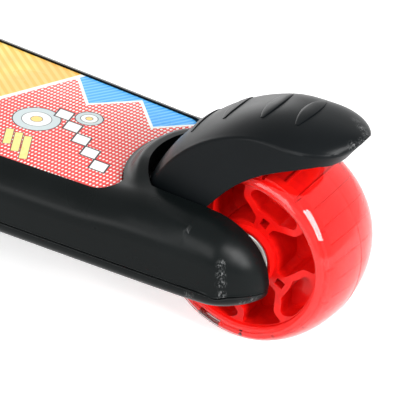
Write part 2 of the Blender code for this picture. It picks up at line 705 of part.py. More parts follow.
def build_core(name, radius, units, hub):
    """The ribbed wheel core: rim, bearing boss and a web, with pockets let in from both faces."""
    outside = radius - TYRE_THICKNESS
    rim = outside - RIM_THICKNESS
    seat = BEARING_RADIUS + GAP
    seat_depth = BOSS_HALF_WIDTH - BEARING_WIDTH - GAP
    half = [(outside, RIM_HALF_WIDTH), (rim, RIM_HALF_WIDTH), (rim - 0.4 * MM, RIB_HALF_WIDTH),
            (BOSS_RADIUS, RIB_HALF_WIDTH), (BOSS_RADIUS, BOSS_HALF_WIDTH), (seat, BOSS_HALF_WIDTH),
            (seat, seat_depth), (9.2 * MM, seat_depth)]
    profile = [half[0]] + [(r, -h) for r, h in half] + list(reversed(half[1:]))
    core = turned(name, profile, 20)
    outer, cell, between = pocket_shapes(rim - 0.8 * MM, BOSS_RADIUS, units)
    step = 360 / units
    depths = ((outer, 0, 9 * MM), (cell, 0, 7 * MM), (between, step / 2, 2.5 * MM))
    pieces = bmesh.new()
    for outline, turn, web in depths:
        base = slab("pocket", outline, web, RIM_HALF_WIDTH + 2 * MM)
        for face in (1, -1):
            for k in range(units):
                copy = base.data.copy()
                copy.transform(Matrix.Rotation(math.radians(POCKET_TURN + turn + step * k), 4, "Z")
                               @ Matrix.Diagonal((1, 1, face, 1)))
                if face < 0:
                    copy.flip_normals()
                pieces.from_mesh(copy)
                bpy.data.meshes.remove(copy)
        bpy.data.objects.remove(base, do_unlink=True)
    tool = new_object(f"{name}_pockets", mesh_of(f"{name}_pockets", pieces))
    place(core, hub)
    place(tool, hub)
    cut(core, tool)
    light = light_block(f"{name}_light_seat", outside, GAP, 2 * MM)
    place(light, hub)
    cut(core, light)
    paint(core, CORE_RED)


def light_block(name, outside, margin, above):
    """A curved block let into the core's outside, under the tyre, for the light."""
    half_angle = math.degrees((LIGHT_LENGTH / 2 + margin) / outside)
    low = outside - LIGHT_DEPTH - margin
    high = outside + above
    outline = [polar(high, a) for a in (-half_angle, 0, half_angle)]
    outline += [polar(low, a) for a in (half_angle, 0, -half_angle)]
    width = LIGHT_HALF_WIDTH + margin
    obj = slab(name, outline, -width, width)
    obj.data.transform(Matrix.Rotation(math.radians(LIGHT_TURN), 4, "Z"))
    return obj


def build_bearings(prefix, hub):
    """A pair of sealed ball bearings in the ends of a core's boss."""
    half = BEARING_WIDTH / 2
    section = [(BEARING_RADIUS, half), (BEARING_RADIUS, -half), (AXLE_RADIUS + GAP, -half),
               (AXLE_RADIUS + GAP, half)]
    for side, sign in (("left", 1), ("right", -1)):
        centre = sign * (BOSS_HALF_WIDTH - half)
        bearing = turned(f"{prefix}_bearing_{side}", section, 16)
        place(paint(bearing, STEEL), hub, (0, 0, centre))


def build_wheel(prefix, radius, units, hub):
    build_tyre(f"{prefix}_tyre", radius, hub)
    build_core(f"{prefix}_core", radius, units, hub)
    build_bearings(prefix, hub)
    light = light_block(f"{prefix}_light_module", radius - TYRE_THICKNESS, 0, -0.2 * MM)
    place(paint(light, CIRCUIT), hub)


def fender_radius(angle):
    """Distance of the brake's middle line from the rear axle at an angle above the horizontal."""
    return FENDER_FRONT_RADIUS + FENDER_TAIL_RISE * (max(angle - 25, 0) / 97) ** 1.84


def fender_width(angle):
    taper = (angle - FENDER_TAPER_START) / (FENDER_END + 0.3 - FENDER_TAPER_START)
    return FENDER_HALF_WIDTH * round_off(taper, 2.48)


def fender_drop(angle):
    """How far the crown falls from the middle line to the ridge above the skirt."""
    swell = 1 + 0.3 * smooth_step(angle, 85, 104)
    return FENDER_CROWN * swell * math.sqrt(fender_width(angle) / FENDER_HALF_WIDTH)


def crown_radius(angle, y):
    """Distance of the brake's upper face from the rear axle, at an angle and a distance aside."""
    return fender_radius(angle) - fender_drop(angle) * (abs(y) / fender_width(angle)) ** 2.3


def fender_skirt(angle):
    """Distance of the skirt's lower edge from the rear axle."""
    depth = FENDER_SKIRT - FENDER_SKIRT_RISE * (max(angle - 50, 0) / 70) ** 2
    lowest = 9.5 * MM / math.sin(math.radians(angle))
    ridge = crown_radius(angle, fender_width(angle))
    return min(max(fender_radius(angle) - depth, lowest), ridge - FENDER_WALL - 0.5 * MM)


def brake_point(angle, radius, y):
    """A point given round the rear axle, in the brake's own frame at its pivot."""
    a = math.radians(angle)
    return Vector((radius * math.cos(a) - BRAKE_PIVOT_X, y,
                   radius * math.sin(a) + REAR_AXLE_Z - BRAKE_PIVOT_Z))


def fender_section(angle):
    """The brake's section at an angle, as a ring: its outer face, then its inner face."""
    width = fender_width(angle)
    ridge = crown_radius(angle, width)
    bottom = fender_skirt(angle)
    outer = [(width * s, crown_radius(angle, width * s)) for s in (0, 0.4, 0.7, 0.9)]
    inner = [(y * (1 - FENDER_SKIRT_WALL / width), r - FENDER_WALL) for y, r in outer]
    for share in (0.06, 1):
        r = ridge - (ridge - bottom) * share
        y = width + FENDER_FLARE * (ridge - r)
        outer.append((y, r))
        inner.append((y - FENDER_SKIRT_WALL, min(r, ridge - FENDER_WALL)))
    half = [brake_point(angle, r, y) for y, r in outer]
    half_inner = [brake_point(angle, r, y) for y, r in inner]
    other = [Vector((p.x, -p.y, p.z)) for p in reversed(half[1:])]
    other_inner = [Vector((p.x, -p.y, p.z)) for p in half_inner[1:]]
    return other + half + list(reversed(half_inner)) + other_inner


def build_fender():
    """The foot brake: a crowned arch with skirts, four raised ribs, and lugs on its pivot."""
    angles = [FENDER_START, 21, 31, 42, 53, 64, 75, 86, 96, 104, 110.5, 115.5, 119, 121, FENDER_END]
    fender = place(loft("rear_brake_fender", [fender_section(a) for a in angles]), BRAKE)
    for k, (angle, half_length) in enumerate(zip(RIB_ANGLES, RIB_HALF_LENGTHS)):
        join(fender, fender_rib(f"fender_rib_{k}", angle, half_length * MM))
    inner, outer = 12 * MM, WELL_HALF_WIDTH - 0.8 * MM
    for side, sign in (("left", 1), ("right", -1)):
        lug = rod(f"brake_lug_{side}", BRAKE_LUG_RADIUS, (0, sign * inner, 0),
                  (0, sign * outer, 0), 16)
        join(fender, lug)
    cut(fender, rod("brake_lug_bore", BRAKE_PIN_RADIUS + GAP, (0, -outer - MM, 0),
                    (0, outer + MM, 0), 16))
    relief = box("spring_relief", (-10 * MM, -inner + MM, -10 * MM), (10 * MM, inner - MM, 6 * MM))
    cut(fender, place(relief, BRAKE))
    paint(fender, PLASTIC)


def fender_rib(name, angle, half_length):
    """A raised crescent across the brake: straight at the rear, arched at the front."""
    rings = []
    steps = 6
    for i in range(steps + 1):
        y = half_length * (2 * i / steps - 1)
        bow = 1 - (y / half_length) ** 2
        width = 1.6 + 3.6 * bow
        section = []
        for share, lift in ((0, -0.7), (0.04, 0.3 + 0.45 * bow), (0.6, 0.25 + 0.4 * bow), (1, -0.7)):
            a = angle - width * share
            section.append(brake_point(a, crown_radius(a, y) + lift * MM, y))
        rings.append(section)
    return loft(name, rings)


def wound_spring(name, radius, wire, pitch, turns, first_leg, last_leg):
    """A spring wound as one unbroken wire round the Y axis, with a leg at each end."""
    per_turn = 8
    count = turns * per_turn
    length = pitch * turns
    points = list(first_leg)
    for i in range(count + 1):
        a = 2 * math.pi * i / per_turn
        points.append(Vector((radius * math.sin(a), length * (i / count - 0.5),
                              radius * math.cos(a))))
    points.append(last_leg)
    least = pitch - 2 * wire
    for i in range(len(points)):
        for j in range(i + per_turn - 2, len(points)):
            least = min(least, (points[i] - points[j]).length - 2 * wire)
    print(f"{name}: least gap between turns {least / MM:.2f} mm")
    curve = bpy.data.curves.new(name, "CURVE")
    curve.dimensions = "3D"
    curve.bevel_depth = wire
    curve.bevel_resolution = 1
    curve.use_fill_caps = True
    spline = curve.splines.new("POLY")
    spline.points.add(len(points) - 1)
    for target, p in zip(spline.points, points):
        target.co = (*p, 1)
    return meshed(new_object(name, curve))


def build_brake_pivot():
    reach = WELL_HALF_WIDTH + DECK_WALL - GAP
    pin = rod("brake_pivot_pin", BRAKE_PIN_RADIUS, (0, -reach, 0), (0, reach, 0), 16)
    place(paint(pin, STEEL), None, BRAKE.location)
    half = SPRING_PITCH * SPRING_TURNS / 2
    wall = WELL_FRONT - BRAKE_PIVOT_X - SPRING_WIRE - GAP
    spring = wound_spring("brake_spring", SPRING_RADIUS, SPRING_WIRE, SPRING_PITCH, SPRING_TURNS,
                          [Vector((-3.1 * MM, -half, 10.5 * MM)), Vector((-2.4 * MM, -half, 4.6 * MM))],
                          Vector((wall, half, SPRING_RADIUS)))
    place(paint(spring, STEEL), None, BRAKE.location)


def kingpin_point(along, aside):
    """World X and Z of a point along the kingpin and aside from it, forward and down."""
    c, s = math.cos(math.radians(KINGPIN_ANGLE)), math.sin(math.radians(KINGPIN_ANGLE))
    return (FRONT_AXLE.x + along * s + aside * c, FRONT_AXLE.z + along * c - aside * s)


def foot_bolt_places():
    rear = REAR_AXLE_X + DECK_LENGTH - FOOT_LENGTH + 12 * MM
    front = REAR_AXLE_X + DECK_LENGTH - 14 * MM
    return [(x, y) for x in (rear, front) for y in (-FOOT_BOLT_SPREAD, FOOT_BOLT_SPREAD)]


def build_front_frame():
    """The moulded front frame: a foot on the deck, two kingpin plates and the stem's hinge ears."""
    inner = TRUCK_BOSS_HALF + BUSHING_THICKNESS + 2 * GAP
    outer = inner + PLATE_THICKNESS
    hinge_x, hinge_z = REAR_AXLE_X + HINGE_X, HINGE_Z
    foot_top = DECK_TOP + GAP + FOOT_THICKNESS
    front_face = REAR_AXLE_X + DECK_LENGTH + GAP
    outline = [(front_face, foot_top - MM), (front_face + 14 * MM, foot_top + 8 * MM)]
    outline += [(hinge_x - 26 * MM, hinge_z - 28 * MM)]
    outline += arc(hinge_x, hinge_z, EAR_RADIUS, 196, -20, 9)
    outline += [kingpin_point(outer, -WEB_GAP), kingpin_point(outer, PLATE_REACH - 5 * MM),
                kingpin_point(outer - 4 * MM, PLATE_REACH), kingpin_point(inner, PLATE_REACH),
                kingpin_point(inner, -WEB_GAP), kingpin_point(-inner, -WEB_GAP),
                kingpin_point(-inner, PLATE_REACH), kingpin_point(4 * MM - outer, PLATE_REACH),
                kingpin_point(-outer, PLATE_REACH - 5 * MM)]
    root = kingpin_point(-outer - 9 * MM, -12 * MM)
    outline += [kingpin_point(-outer, -10.5 * MM), root,
                (front_face + (root[0] - front_face) * 0.6, GROUND_CLEARANCE + 4 * MM),
                (front_face, GROUND_CLEARANCE + 2 * MM)]
    frame = upright(prism("front_frame", [outline], FRAME_HALF_WIDTH))
    rounded(frame, 2.2 * MM, 1)
    rear = front_face - FOOT_LENGTH
    neck = FRAME_HALF_WIDTH - 4 * MM
    half_foot = [(rear, FOOT_HALF_WIDTH - 8 * MM), (rear + 8 * MM, FOOT_HALF_WIDTH),
                 (front_face - 8 * MM, FOOT_HALF_WIDTH - 2 * MM), (front_face + 12 * MM, neck)]
    foot = slab("frame_foot", half_foot + [(x, -y) for x, y in reversed(half_foot)],
                DECK_TOP + GAP, foot_top)
    rounded(foot, 1.5 * MM, 1)
    join(frame, foot)
    slot_floor, folded_floor = hinge_z - EAR_RADIUS, hinge_z - BASE_RADIUS - BUTTON_PROUD - MM
    rear_end, front_end, above = hinge_x - 60 * MM, hinge_x + 40 * MM, hinge_z + 40 * MM
    slot_outline = [(rear_end, folded_floor), (hinge_x - 14 * MM, folded_floor),
                    (hinge_x - 12 * MM, slot_floor), (front_end, slot_floor), (front_end, above),
                    (rear_end, above)]
    slot = upright(prism("hinge_slot", [slot_outline], TONGUE_HALF_WIDTH + GAP))
    cut(frame, slot)
    ears = FRAME_HALF_WIDTH + MM
    cut(frame, rod("hinge_bore", HINGE_RADIUS + GAP, (hinge_x, -ears, hinge_z),
                   (hinge_x, ears, hinge_z), 20))
    start, end = kingpin_point(-outer - 2 * MM, 0), kingpin_point(outer + 2 * MM, 0)
    cut(frame, rod("kingpin_bore", KINGPIN_RADIUS + GAP, (start[0], 0, start[1]),
                   (end[0], 0, end[1]), 20))
    for k, (x, y) in enumerate(foot_bolt_places()):
        cut(frame, rod(f"foot_bore_{k}", FOOT_BOLT_RADIUS + GAP, (x, y, DECK_TOP - MM),
                       (x, y, foot_top + MM), 12))
    paint(frame, DARK_PLASTIC)


def build_front_hardware():
    """Kingpin, its nut, the two bushings, the hinge bolt and nut, and the foot's bolts."""
    inner = TRUCK_BOSS_HALF + BUSHING_THICKNESS + 2 * GAP
    outer = inner + PLATE_THICKNESS + GAP
    head, shank = 8.5 * MM, KINGPIN_RADIUS
    top, bottom = outer + 6 * MM, -outer - 8 * MM
    kingpin = turned("kingpin_bolt", [(0, top), (head - 1.5 * MM, top), (head, top - 1.5 * MM),
                                      (head, outer), (shank, outer), (shank, bottom), (0, bottom)],
                     16, closed=False)
    place(paint(kingpin, STEEL), None, FRONT_AXLE, (0, KINGPIN_ANGLE, 0))
    nut = hex_nut("kingpin_nut", head, shank, -outer, bottom + 2 * MM)
    place(nut, None, FRONT_AXLE, (0, KINGPIN_ANGLE, 0))
    for name, sign in (("upper", 1), ("lower", -1)):
        centre = TRUCK_BOSS_HALF + GAP + BUSHING_THICKNESS / 2
        half = BUSHING_THICKNESS / 2
        wide, narrow = TRUCK_BOSS_RADIUS - MM, TRUCK_BOSS_RADIUS - 3 * MM
        profile = [(narrow, half), (wide, half * 0.35), (wide, -half * 0.35), (narrow, -half),
                   (KINGPIN_RADIUS + GAP, -half), (KINGPIN_RADIUS + GAP, half)]
        bushing = turned(f"{name}_bushing", profile, 16)
        axis_point = kingpin_point(sign * centre, 0)
        place(paint(bushing, BUSHING), None, (axis_point[0], 0, axis_point[1]), (0, KINGPIN_ANGLE, 0))
    reach = FRAME_HALF_WIDTH + GAP
    bolt = turned("fold_bolt", [(0, reach + 5 * MM), (6.5 * MM, reach + 5 * MM), (6.5 * MM, reach),
                                (HINGE_RADIUS, reach), (HINGE_RADIUS, -reach - 6.5 * MM),
                                (0, -reach - 6.5 * MM)], 16, closed=False)
    place(paint(bolt, STEEL), None, STEM.location, WHEEL_TURN)
    nut = hex_nut("fold_nut", 7.5 * MM, HINGE_RADIUS, -reach, -reach - 5.5 * MM)
    place(nut, None, STEM.location, WHEEL_TURN)
    foot_top = DECK_TOP + 2 * GAP + FOOT_THICKNESS
    tip = 2 * MM - FOOT_THICKNESS - FOOT_BOSS
    for k, (x, y) in enumerate(foot_bolt_places()):
        bolt = turned(f"foot_bolt_{k + 1}",
                      [(0, 3 * MM), (4.4 * MM, 3 * MM), (5.2 * MM, 2 * MM), (5.2 * MM, 0),
                       (FOOT_BOLT_RADIUS, 0), (FOOT_BOLT_RADIUS, tip), (0, tip)], 10, closed=False)
        place(paint(bolt, STEEL), None, (x, y, foot_top))


def build_truck():
    """The steering beam on the kingpin, with a wheel bolt, spacer and magnet at each end."""
    shape = ((-1, 12, 12), (-0.82, 12, 12), (-0.5, 9.5, 12.5), (-0.2, 11, 15), (0, 11, 15),
             (0.2, 11, 15), (0.5, 9.5, 12.5), (0.82, 12, 12), (1, 12, 12))
    rings = []
    for share, aside, along in shape:
        ring = []
        for k in range(16):
            a = 2 * math.pi * k / 16
            c, s = math.cos(a), math.sin(a)
            x = aside * MM * math.copysign(abs(c) ** 0.8, c)
            z = along * MM * math.copysign(abs(s) ** 0.8, s)
            ring.append(Vector((x, BEAM_HALF_LENGTH * share, z)))
        rings.append(ring)
    beam = place(loft("truck_beam", rings), TRUCK)
    join(beam, rod("beam_boss", TRUCK_BOSS_RADIUS, (0, 0, -TRUCK_BOSS_HALF), (0, 0, TRUCK_BOSS_HALF), 24))
    cut(beam, rod("beam_bore", KINGPIN_RADIUS + GAP, (0, 0, -THROUGH), (0, 0, THROUGH), 20))
    depth = 16 * MM
    for side, sign in (("left", 1), ("right", -1)):
        end = BEAM_HALF_LENGTH
        cut(beam, rod(f"beam_end_bore_{side}", AXLE_RADIUS + GAP, (0, sign * (end - depth), 0),
                      (0, sign * (end + MM), 0), 16))
        centre = FRONT_HALF_TRACK
        outside = centre + BOSS_HALF_WIDTH + GAP
        inside = end - depth + GAP
        head = [(0, outside + 5 * MM), (5 * MM, outside + 5 * MM), (7 * MM, outside + 3.6 * MM),
                (7 * MM, outside), (AXLE_RADIUS, outside), (AXLE_RADIUS, inside), (0, inside)]
        if sign < 0:
            head = [(r, -h) for r, h in reversed(head)]
        bolt = turned(f"front_axle_bolt_{side}", head, 16, closed=False)
        place(paint(bolt, STEEL), TRUCK, (0, 0, 0), WHEEL_TURN)
        spacer = bearing_spacer(f"front_spacer_{side}", BOSS_HALF_WIDTH,
                                FRONT_HALF_TRACK - BEAM_HALF_LENGTH, -sign)
        place(spacer, TRUCK, (0, sign * centre, 0), WHEEL_TURN)
        place(magnet_sleeve(f"front_magnet_sleeve_{side}"), TRUCK, (0, sign * centre, 0), WHEEL_TURN)
    paint(beam, DARK_PLASTIC)


def build_stem_base():
    """The folding block: a tongue on the hinge, a button pocket and a socket for the lower tube."""
    half_depth = EAR_RADIUS - 2 * GAP
    clear = EAR_RADIUS + 3 * MM
    round_start = SOCKET_START - 3 * MM
    rings = []
    for height, squareness in ((0, 0.35), (clear, 0.45), ((clear + round_start) / 2, 0.7),
                               (round_start, 1), (BASE_LENGTH, 1)):
        blend = smooth_step(height, clear, round_start)
        widening = max(height - clear, 0) / (round_start - clear)
        aside = half_depth + (BASE_RADIUS - half_depth) * blend
        across = TONGUE_HALF_WIDTH + (BASE_RADIUS - TONGUE_HALF_WIDTH) * min(widening, 1)
        ring = []
        for k in range(24):
            a = 2 * math.pi * (k + 0.5) / 24
            c, s = math.cos(a), math.sin(a)
            ring.append(Vector((aside * math.copysign(abs(c) ** squareness, c),
                                across * math.copysign(abs(s) ** squareness, s), height)))
        rings.append(ring)
    base = place(loft("stem_base", rings), STEM)
    join(base, rod("stem_tongue", half_depth, (0, -TONGUE_HALF_WIDTH, 0), (0, TONGUE_HALF_WIDTH, 0), 24))
    cut(base, rod("stem_hinge_bore", HINGE_RADIUS + GAP, (0, -THROUGH, 0), (0, THROUGH, 0), 20))
    cut(base, rod("stem_socket", LOWER_TUBE_RADIUS + GAP, (0, 0, SOCKET_START),
                  (0, 0, BASE_LENGTH + MM), 24))
    half_width, half_height = 10 * MM, 6.5 * MM
    pocket = box("button_pocket", (-THROUGH, -half_width - GAP, BUTTON_CENTRE - half_height - GAP),
                 (-10 * MM, half_width + GAP, BUTTON_CENTRE + half_height + GAP))
    place(pocket, STEM)
    cut(base, pocket)
    paint(base, DARK_PLASTIC)
    outer = -BASE_RADIUS - BUTTON_PROUD
    inner = -10 * MM - BUTTON_TRAVEL - 1.2 * MM
    button = box("fold_button", (outer, -half_width, BUTTON_CENTRE - half_height),
                 (inner, half_width, BUTTON_CENTRE + half_height))
    rounded(button, 1.2 * MM)
    place(paint(button, CORE_RED), STEM)


def build_tubes():
    """The telescoping stem: lower tube, bush, and the upper tube that carries the handlebar."""
    def tube(name, radius, wall, bottom, top):
        return turned(name, [(radius, top), (radius, bottom), (radius - wall, bottom),
                             (radius - wall, top)], 24)
    lower = tube("lower_tube", LOWER_TUBE_RADIUS, LOWER_TUBE_WALL, SOCKET_START + GAP, LOWER_TUBE_TOP)
    place(paint(lower, ALUMINIUM), STEM)
    bore = UPPER_TUBE_RADIUS + GAP
    outside = LOWER_TUBE_RADIUS - LOWER_TUBE_WALL - GAP
    top = LOWER_TUBE_TOP + 2.4 * MM
    bush = turned("tube_bush", [(LOWER_TUBE_RADIUS, top), (LOWER_TUBE_RADIUS, LOWER_TUBE_TOP + GAP),
                                (outside, LOWER_TUBE_TOP + GAP), (outside, LOWER_TUBE_TOP - BUSH_LENGTH),
                                (bore, LOWER_TUBE_TOP - BUSH_LENGTH), (bore, top)], 24)
    place(paint(bush, NYLON), STEM)
    top = -BAR_RADIUS - 3 * GAP
    upper = tube("upper_tube", UPPER_TUBE_RADIUS, UPPER_TUBE_WALL, UPPER_TUBE_BOTTOM - BAR_DISTANCE, top)
    place(paint(upper, ALUMINIUM), UPPER)


def lever_outline(inner):
    """Plan of the cam lever round its pin: a round cam and an arm that lies beside the collar."""
    outline = arc(0, 0, CAM_RADIUS, 100, 350, 10)
    outline += [(CAM_RADIUS, 4 * MM), (inner + 5.2 * MM, 14 * MM), (inner + 5.6 * MM, LEVER_LENGTH * 0.6),
                (inner + 6.6 * MM, LEVER_LENGTH - 3 * MM), (inner + 4.5 * MM, LEVER_LENGTH),
                (inner + 2 * MM, LEVER_LENGTH - 2 * MM), (inner, LEVER_LENGTH * 0.6), (inner, 12 * MM)]
    return outline


def build_clamp():
    """The quick-release clamp: a split collar, its skewer and nut, and the cam lever."""
    centre = LOWER_TUBE_TOP - COLLAR_HEIGHT / 2 - 3 * MM
    low, high = centre - COLLAR_HEIGHT / 2, centre + COLLAR_HEIGHT / 2
    outside = LOWER_TUBE_RADIUS + GAP + COLLAR_WALL
    collar = place(rod("clamp_collar", outside, (0, 0, low), (0, 0, high), 24), STEM)
    lug_half = CLAMP_SLOT / 2 + LUG_THICKNESS
    lug = box("clamp_lugs", (-lug_half, -CLAMP_OFFSET - 6 * MM, low + 3 * MM),
              (lug_half, -outside / 2, high - 3 * MM))
    join(collar, place(lug, STEM))
    cut(collar, rod("collar_bore", LOWER_TUBE_RADIUS + GAP, (0, 0, low - MM), (0, 0, high + MM), 24))
    slot = box("clamp_slot", (-CLAMP_SLOT / 2, -CLAMP_OFFSET - 10 * MM, low - MM),
               (CLAMP_SLOT / 2, 0, high + MM))
    cut(collar, place(slot, STEM))
    cut(collar, rod("skewer_bore", SKEWER_RADIUS + GAP, (-THROUGH, -CLAMP_OFFSET, centre),
                    (THROUGH, -CLAMP_OFFSET, centre), 16))
    paint(collar, DARK_PLASTIC)
    washer_start = lug_half + GAP
    washer_end = washer_start + WASHER_THICKNESS
    pivot = washer_end + GAP + CAM_RADIUS
    nut_end = -lug_half - GAP - 5 * MM
    skewer = rod("clamp_skewer", SKEWER_RADIUS, (nut_end - MM, -CLAMP_OFFSET, centre),
                 (pivot, -CLAMP_OFFSET, centre), 16)
    place(skewer, STEM)
    join(skewer, rod("skewer_barrel", BARREL_RADIUS, (pivot, -CLAMP_OFFSET, centre - LEVER_HALF_HEIGHT),
                     (pivot, -CLAMP_OFFSET, centre + LEVER_HALF_HEIGHT), 16))
    paint(skewer, STEEL)
    nut = hex_nut("clamp_nut", 5 * MM, SKEWER_RADIUS, -lug_half - GAP, nut_end)
    place(nut, STEM, (0, -CLAMP_OFFSET, centre), (0, 90, 0))
    washer = turned("clamp_washer", [(6 * MM, washer_end), (6 * MM, washer_start),
                                     (SKEWER_RADIUS + GAP, washer_start),
                                     (SKEWER_RADIUS + GAP, washer_end)], 16)
    place(paint(washer, NYLON), STEM, (0, -CLAMP_OFFSET, centre), (0, 90, 0))
    axis = empty("clamp_lever_axis", (pivot, -CLAMP_OFFSET, centre), parent=STEM)
    inner = outside + 1.2 * MM - pivot
    lever = place(slab("clamp_lever", lever_outline(inner), -LEVER_HALF_HEIGHT, LEVER_HALF_HEIGHT), axis)
    cheek = box("lever_slot", (-CAM_RADIUS - MM, -CAM_RADIUS - MM, -SKEWER_RADIUS - 2 * GAP),
                (CAM_RADIUS + MM, 8 * MM, SKEWER_RADIUS + 2 * GAP))
    cut(lever, place(cheek, axis))
    bore = rod("lever_bore", BARREL_RADIUS + GAP, (0, 0, -THROUGH), (0, 0, THROUGH), 16)
    cut(lever, place(bore, axis))
    paint(lever, PLASTIC)


def build_handlebar():
    """The tee, the handlebar tube and its two grips."""
    bottom, across = -TEE_SOCKET - BAR_RADIUS, TEE_HALF_LENGTH
    tee = place(rod("handlebar_tee", UPPER_TUBE_RADIUS + 3.6 * MM, (0, 0, bottom), (0, 0, 0), 24), UPPER)
    join(tee, rod("tee_sleeve", BAR_RADIUS + 3.8 * MM, (0, -across, 0), (0, across, 0), 24))
    cut(tee, rod("tee_bar_bore", BAR_RADIUS + GAP, (0, -across - MM, 0), (0, across + MM, 0), 24))
    cut(tee, rod("tee_tube_bore", UPPER_TUBE_RADIUS + GAP, (0, 0, bottom - MM), (0, 0, 0), 24))
    paint(tee, DARK_PLASTIC)
    bar = turned("handlebar", [(BAR_RADIUS, BAR_HALF_LENGTH), (BAR_RADIUS, -BAR_HALF_LENGTH),
                               (BAR_RADIUS - BAR_WALL, -BAR_HALF_LENGTH),
                               (BAR_RADIUS - BAR_WALL, BAR_HALF_LENGTH)], 24)
    place(paint(bar, ALUMINIUM), UPPER, (0, 0, 0), WHEEL_TURN)
    end = BAR_HALF_LENGTH + 4 * MM
    start = TEE_HALF_LENGTH + GRIP_SPACE
    bore = BAR_RADIUS + GAP
    for side, sign in (("left", 1), ("right", -1)):
        profile = [(0, end), (GRIP_RADIUS - 2 * MM, end), (GRIP_RADIUS + 1.5 * MM, end - 2.5 * MM),
                   (GRIP_RADIUS, end - 8 * MM), (GRIP_RADIUS + 0.8 * MM, (start + end) / 2),
                   (GRIP_RADIUS, start + 8 * MM), (GRIP_RADIUS + 4 * MM, start + 4 * MM),
                   (GRIP_RADIUS + 4 * MM, start), (bore, start), (bore, BAR_HALF_LENGTH + GAP),
                   (0, BAR_HALF_LENGTH + GAP)]
        if sign < 0:
            profile = [(r, -h) for r, h in reversed(profile)]
        grip = turned(f"grip_{side}", profile, 20, closed=False)
        place(paint(grip, RUBBER), UPPER, (0, 0, 0), WHEEL_TURN)


build_deck_top()
build_deck_bottom()
build_panel()
build_rear_axle()
build_wheel("rear", REAR_RADIUS, REAR_POCKET_UNITS, REAR_HUB)
build_fender()
build_brake_pivot()
build_front_frame()
build_front_hardware()
build_truck()
for wheel_side, wheel_hub in FRONT_HUBS.items():
    build_wheel(f"front_{wheel_side}", FRONT_RADIUS, FRONT_POCKET_UNITS, wheel_hub)
build_stem_base()
build_tubes()
build_clamp()
build_handlebar()
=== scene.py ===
"""Looks for the three-wheel kick scooter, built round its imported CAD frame.

Lengths are in metres and turns in degrees. X points forward, Y to the left and Z up.
"""

import json
from math import asin, atan2, cos, degrees, exp, hypot, pi, radians, sin, sqrt

import bmesh
import bpy
from mathutils import Matrix, Vector

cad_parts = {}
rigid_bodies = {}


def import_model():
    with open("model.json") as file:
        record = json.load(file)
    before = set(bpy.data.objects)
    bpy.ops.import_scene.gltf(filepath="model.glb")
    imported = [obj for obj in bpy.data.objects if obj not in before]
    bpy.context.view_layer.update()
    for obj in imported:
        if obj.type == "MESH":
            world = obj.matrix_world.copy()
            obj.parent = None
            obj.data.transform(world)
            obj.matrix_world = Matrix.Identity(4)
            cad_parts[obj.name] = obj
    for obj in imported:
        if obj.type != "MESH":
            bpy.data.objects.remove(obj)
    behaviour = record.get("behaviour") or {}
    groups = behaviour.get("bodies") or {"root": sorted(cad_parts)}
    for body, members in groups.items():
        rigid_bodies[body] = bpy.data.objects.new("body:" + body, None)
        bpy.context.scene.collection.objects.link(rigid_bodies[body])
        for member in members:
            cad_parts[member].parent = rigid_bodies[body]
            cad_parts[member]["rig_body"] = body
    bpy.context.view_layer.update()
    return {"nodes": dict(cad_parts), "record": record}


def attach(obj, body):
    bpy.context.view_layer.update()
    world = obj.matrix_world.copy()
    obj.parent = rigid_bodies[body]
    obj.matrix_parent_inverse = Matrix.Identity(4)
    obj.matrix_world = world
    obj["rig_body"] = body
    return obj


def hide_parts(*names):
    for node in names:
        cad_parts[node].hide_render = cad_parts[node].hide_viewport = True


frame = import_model()

MM = 0.001
GAP = 0.3 * MM  # play between neighbouring pieces, as in the solids
REAR_AXLE = Vector((-0.235, 0, 0.040))
FRONT_AXLE = Vector((0.215, 0, 0.060))
FRONT_HALF_TRACK = 112 * MM
REAR_RADIUS, FRONT_RADIUS = 40 * MM, 60 * MM


# ---- shader helpers ----

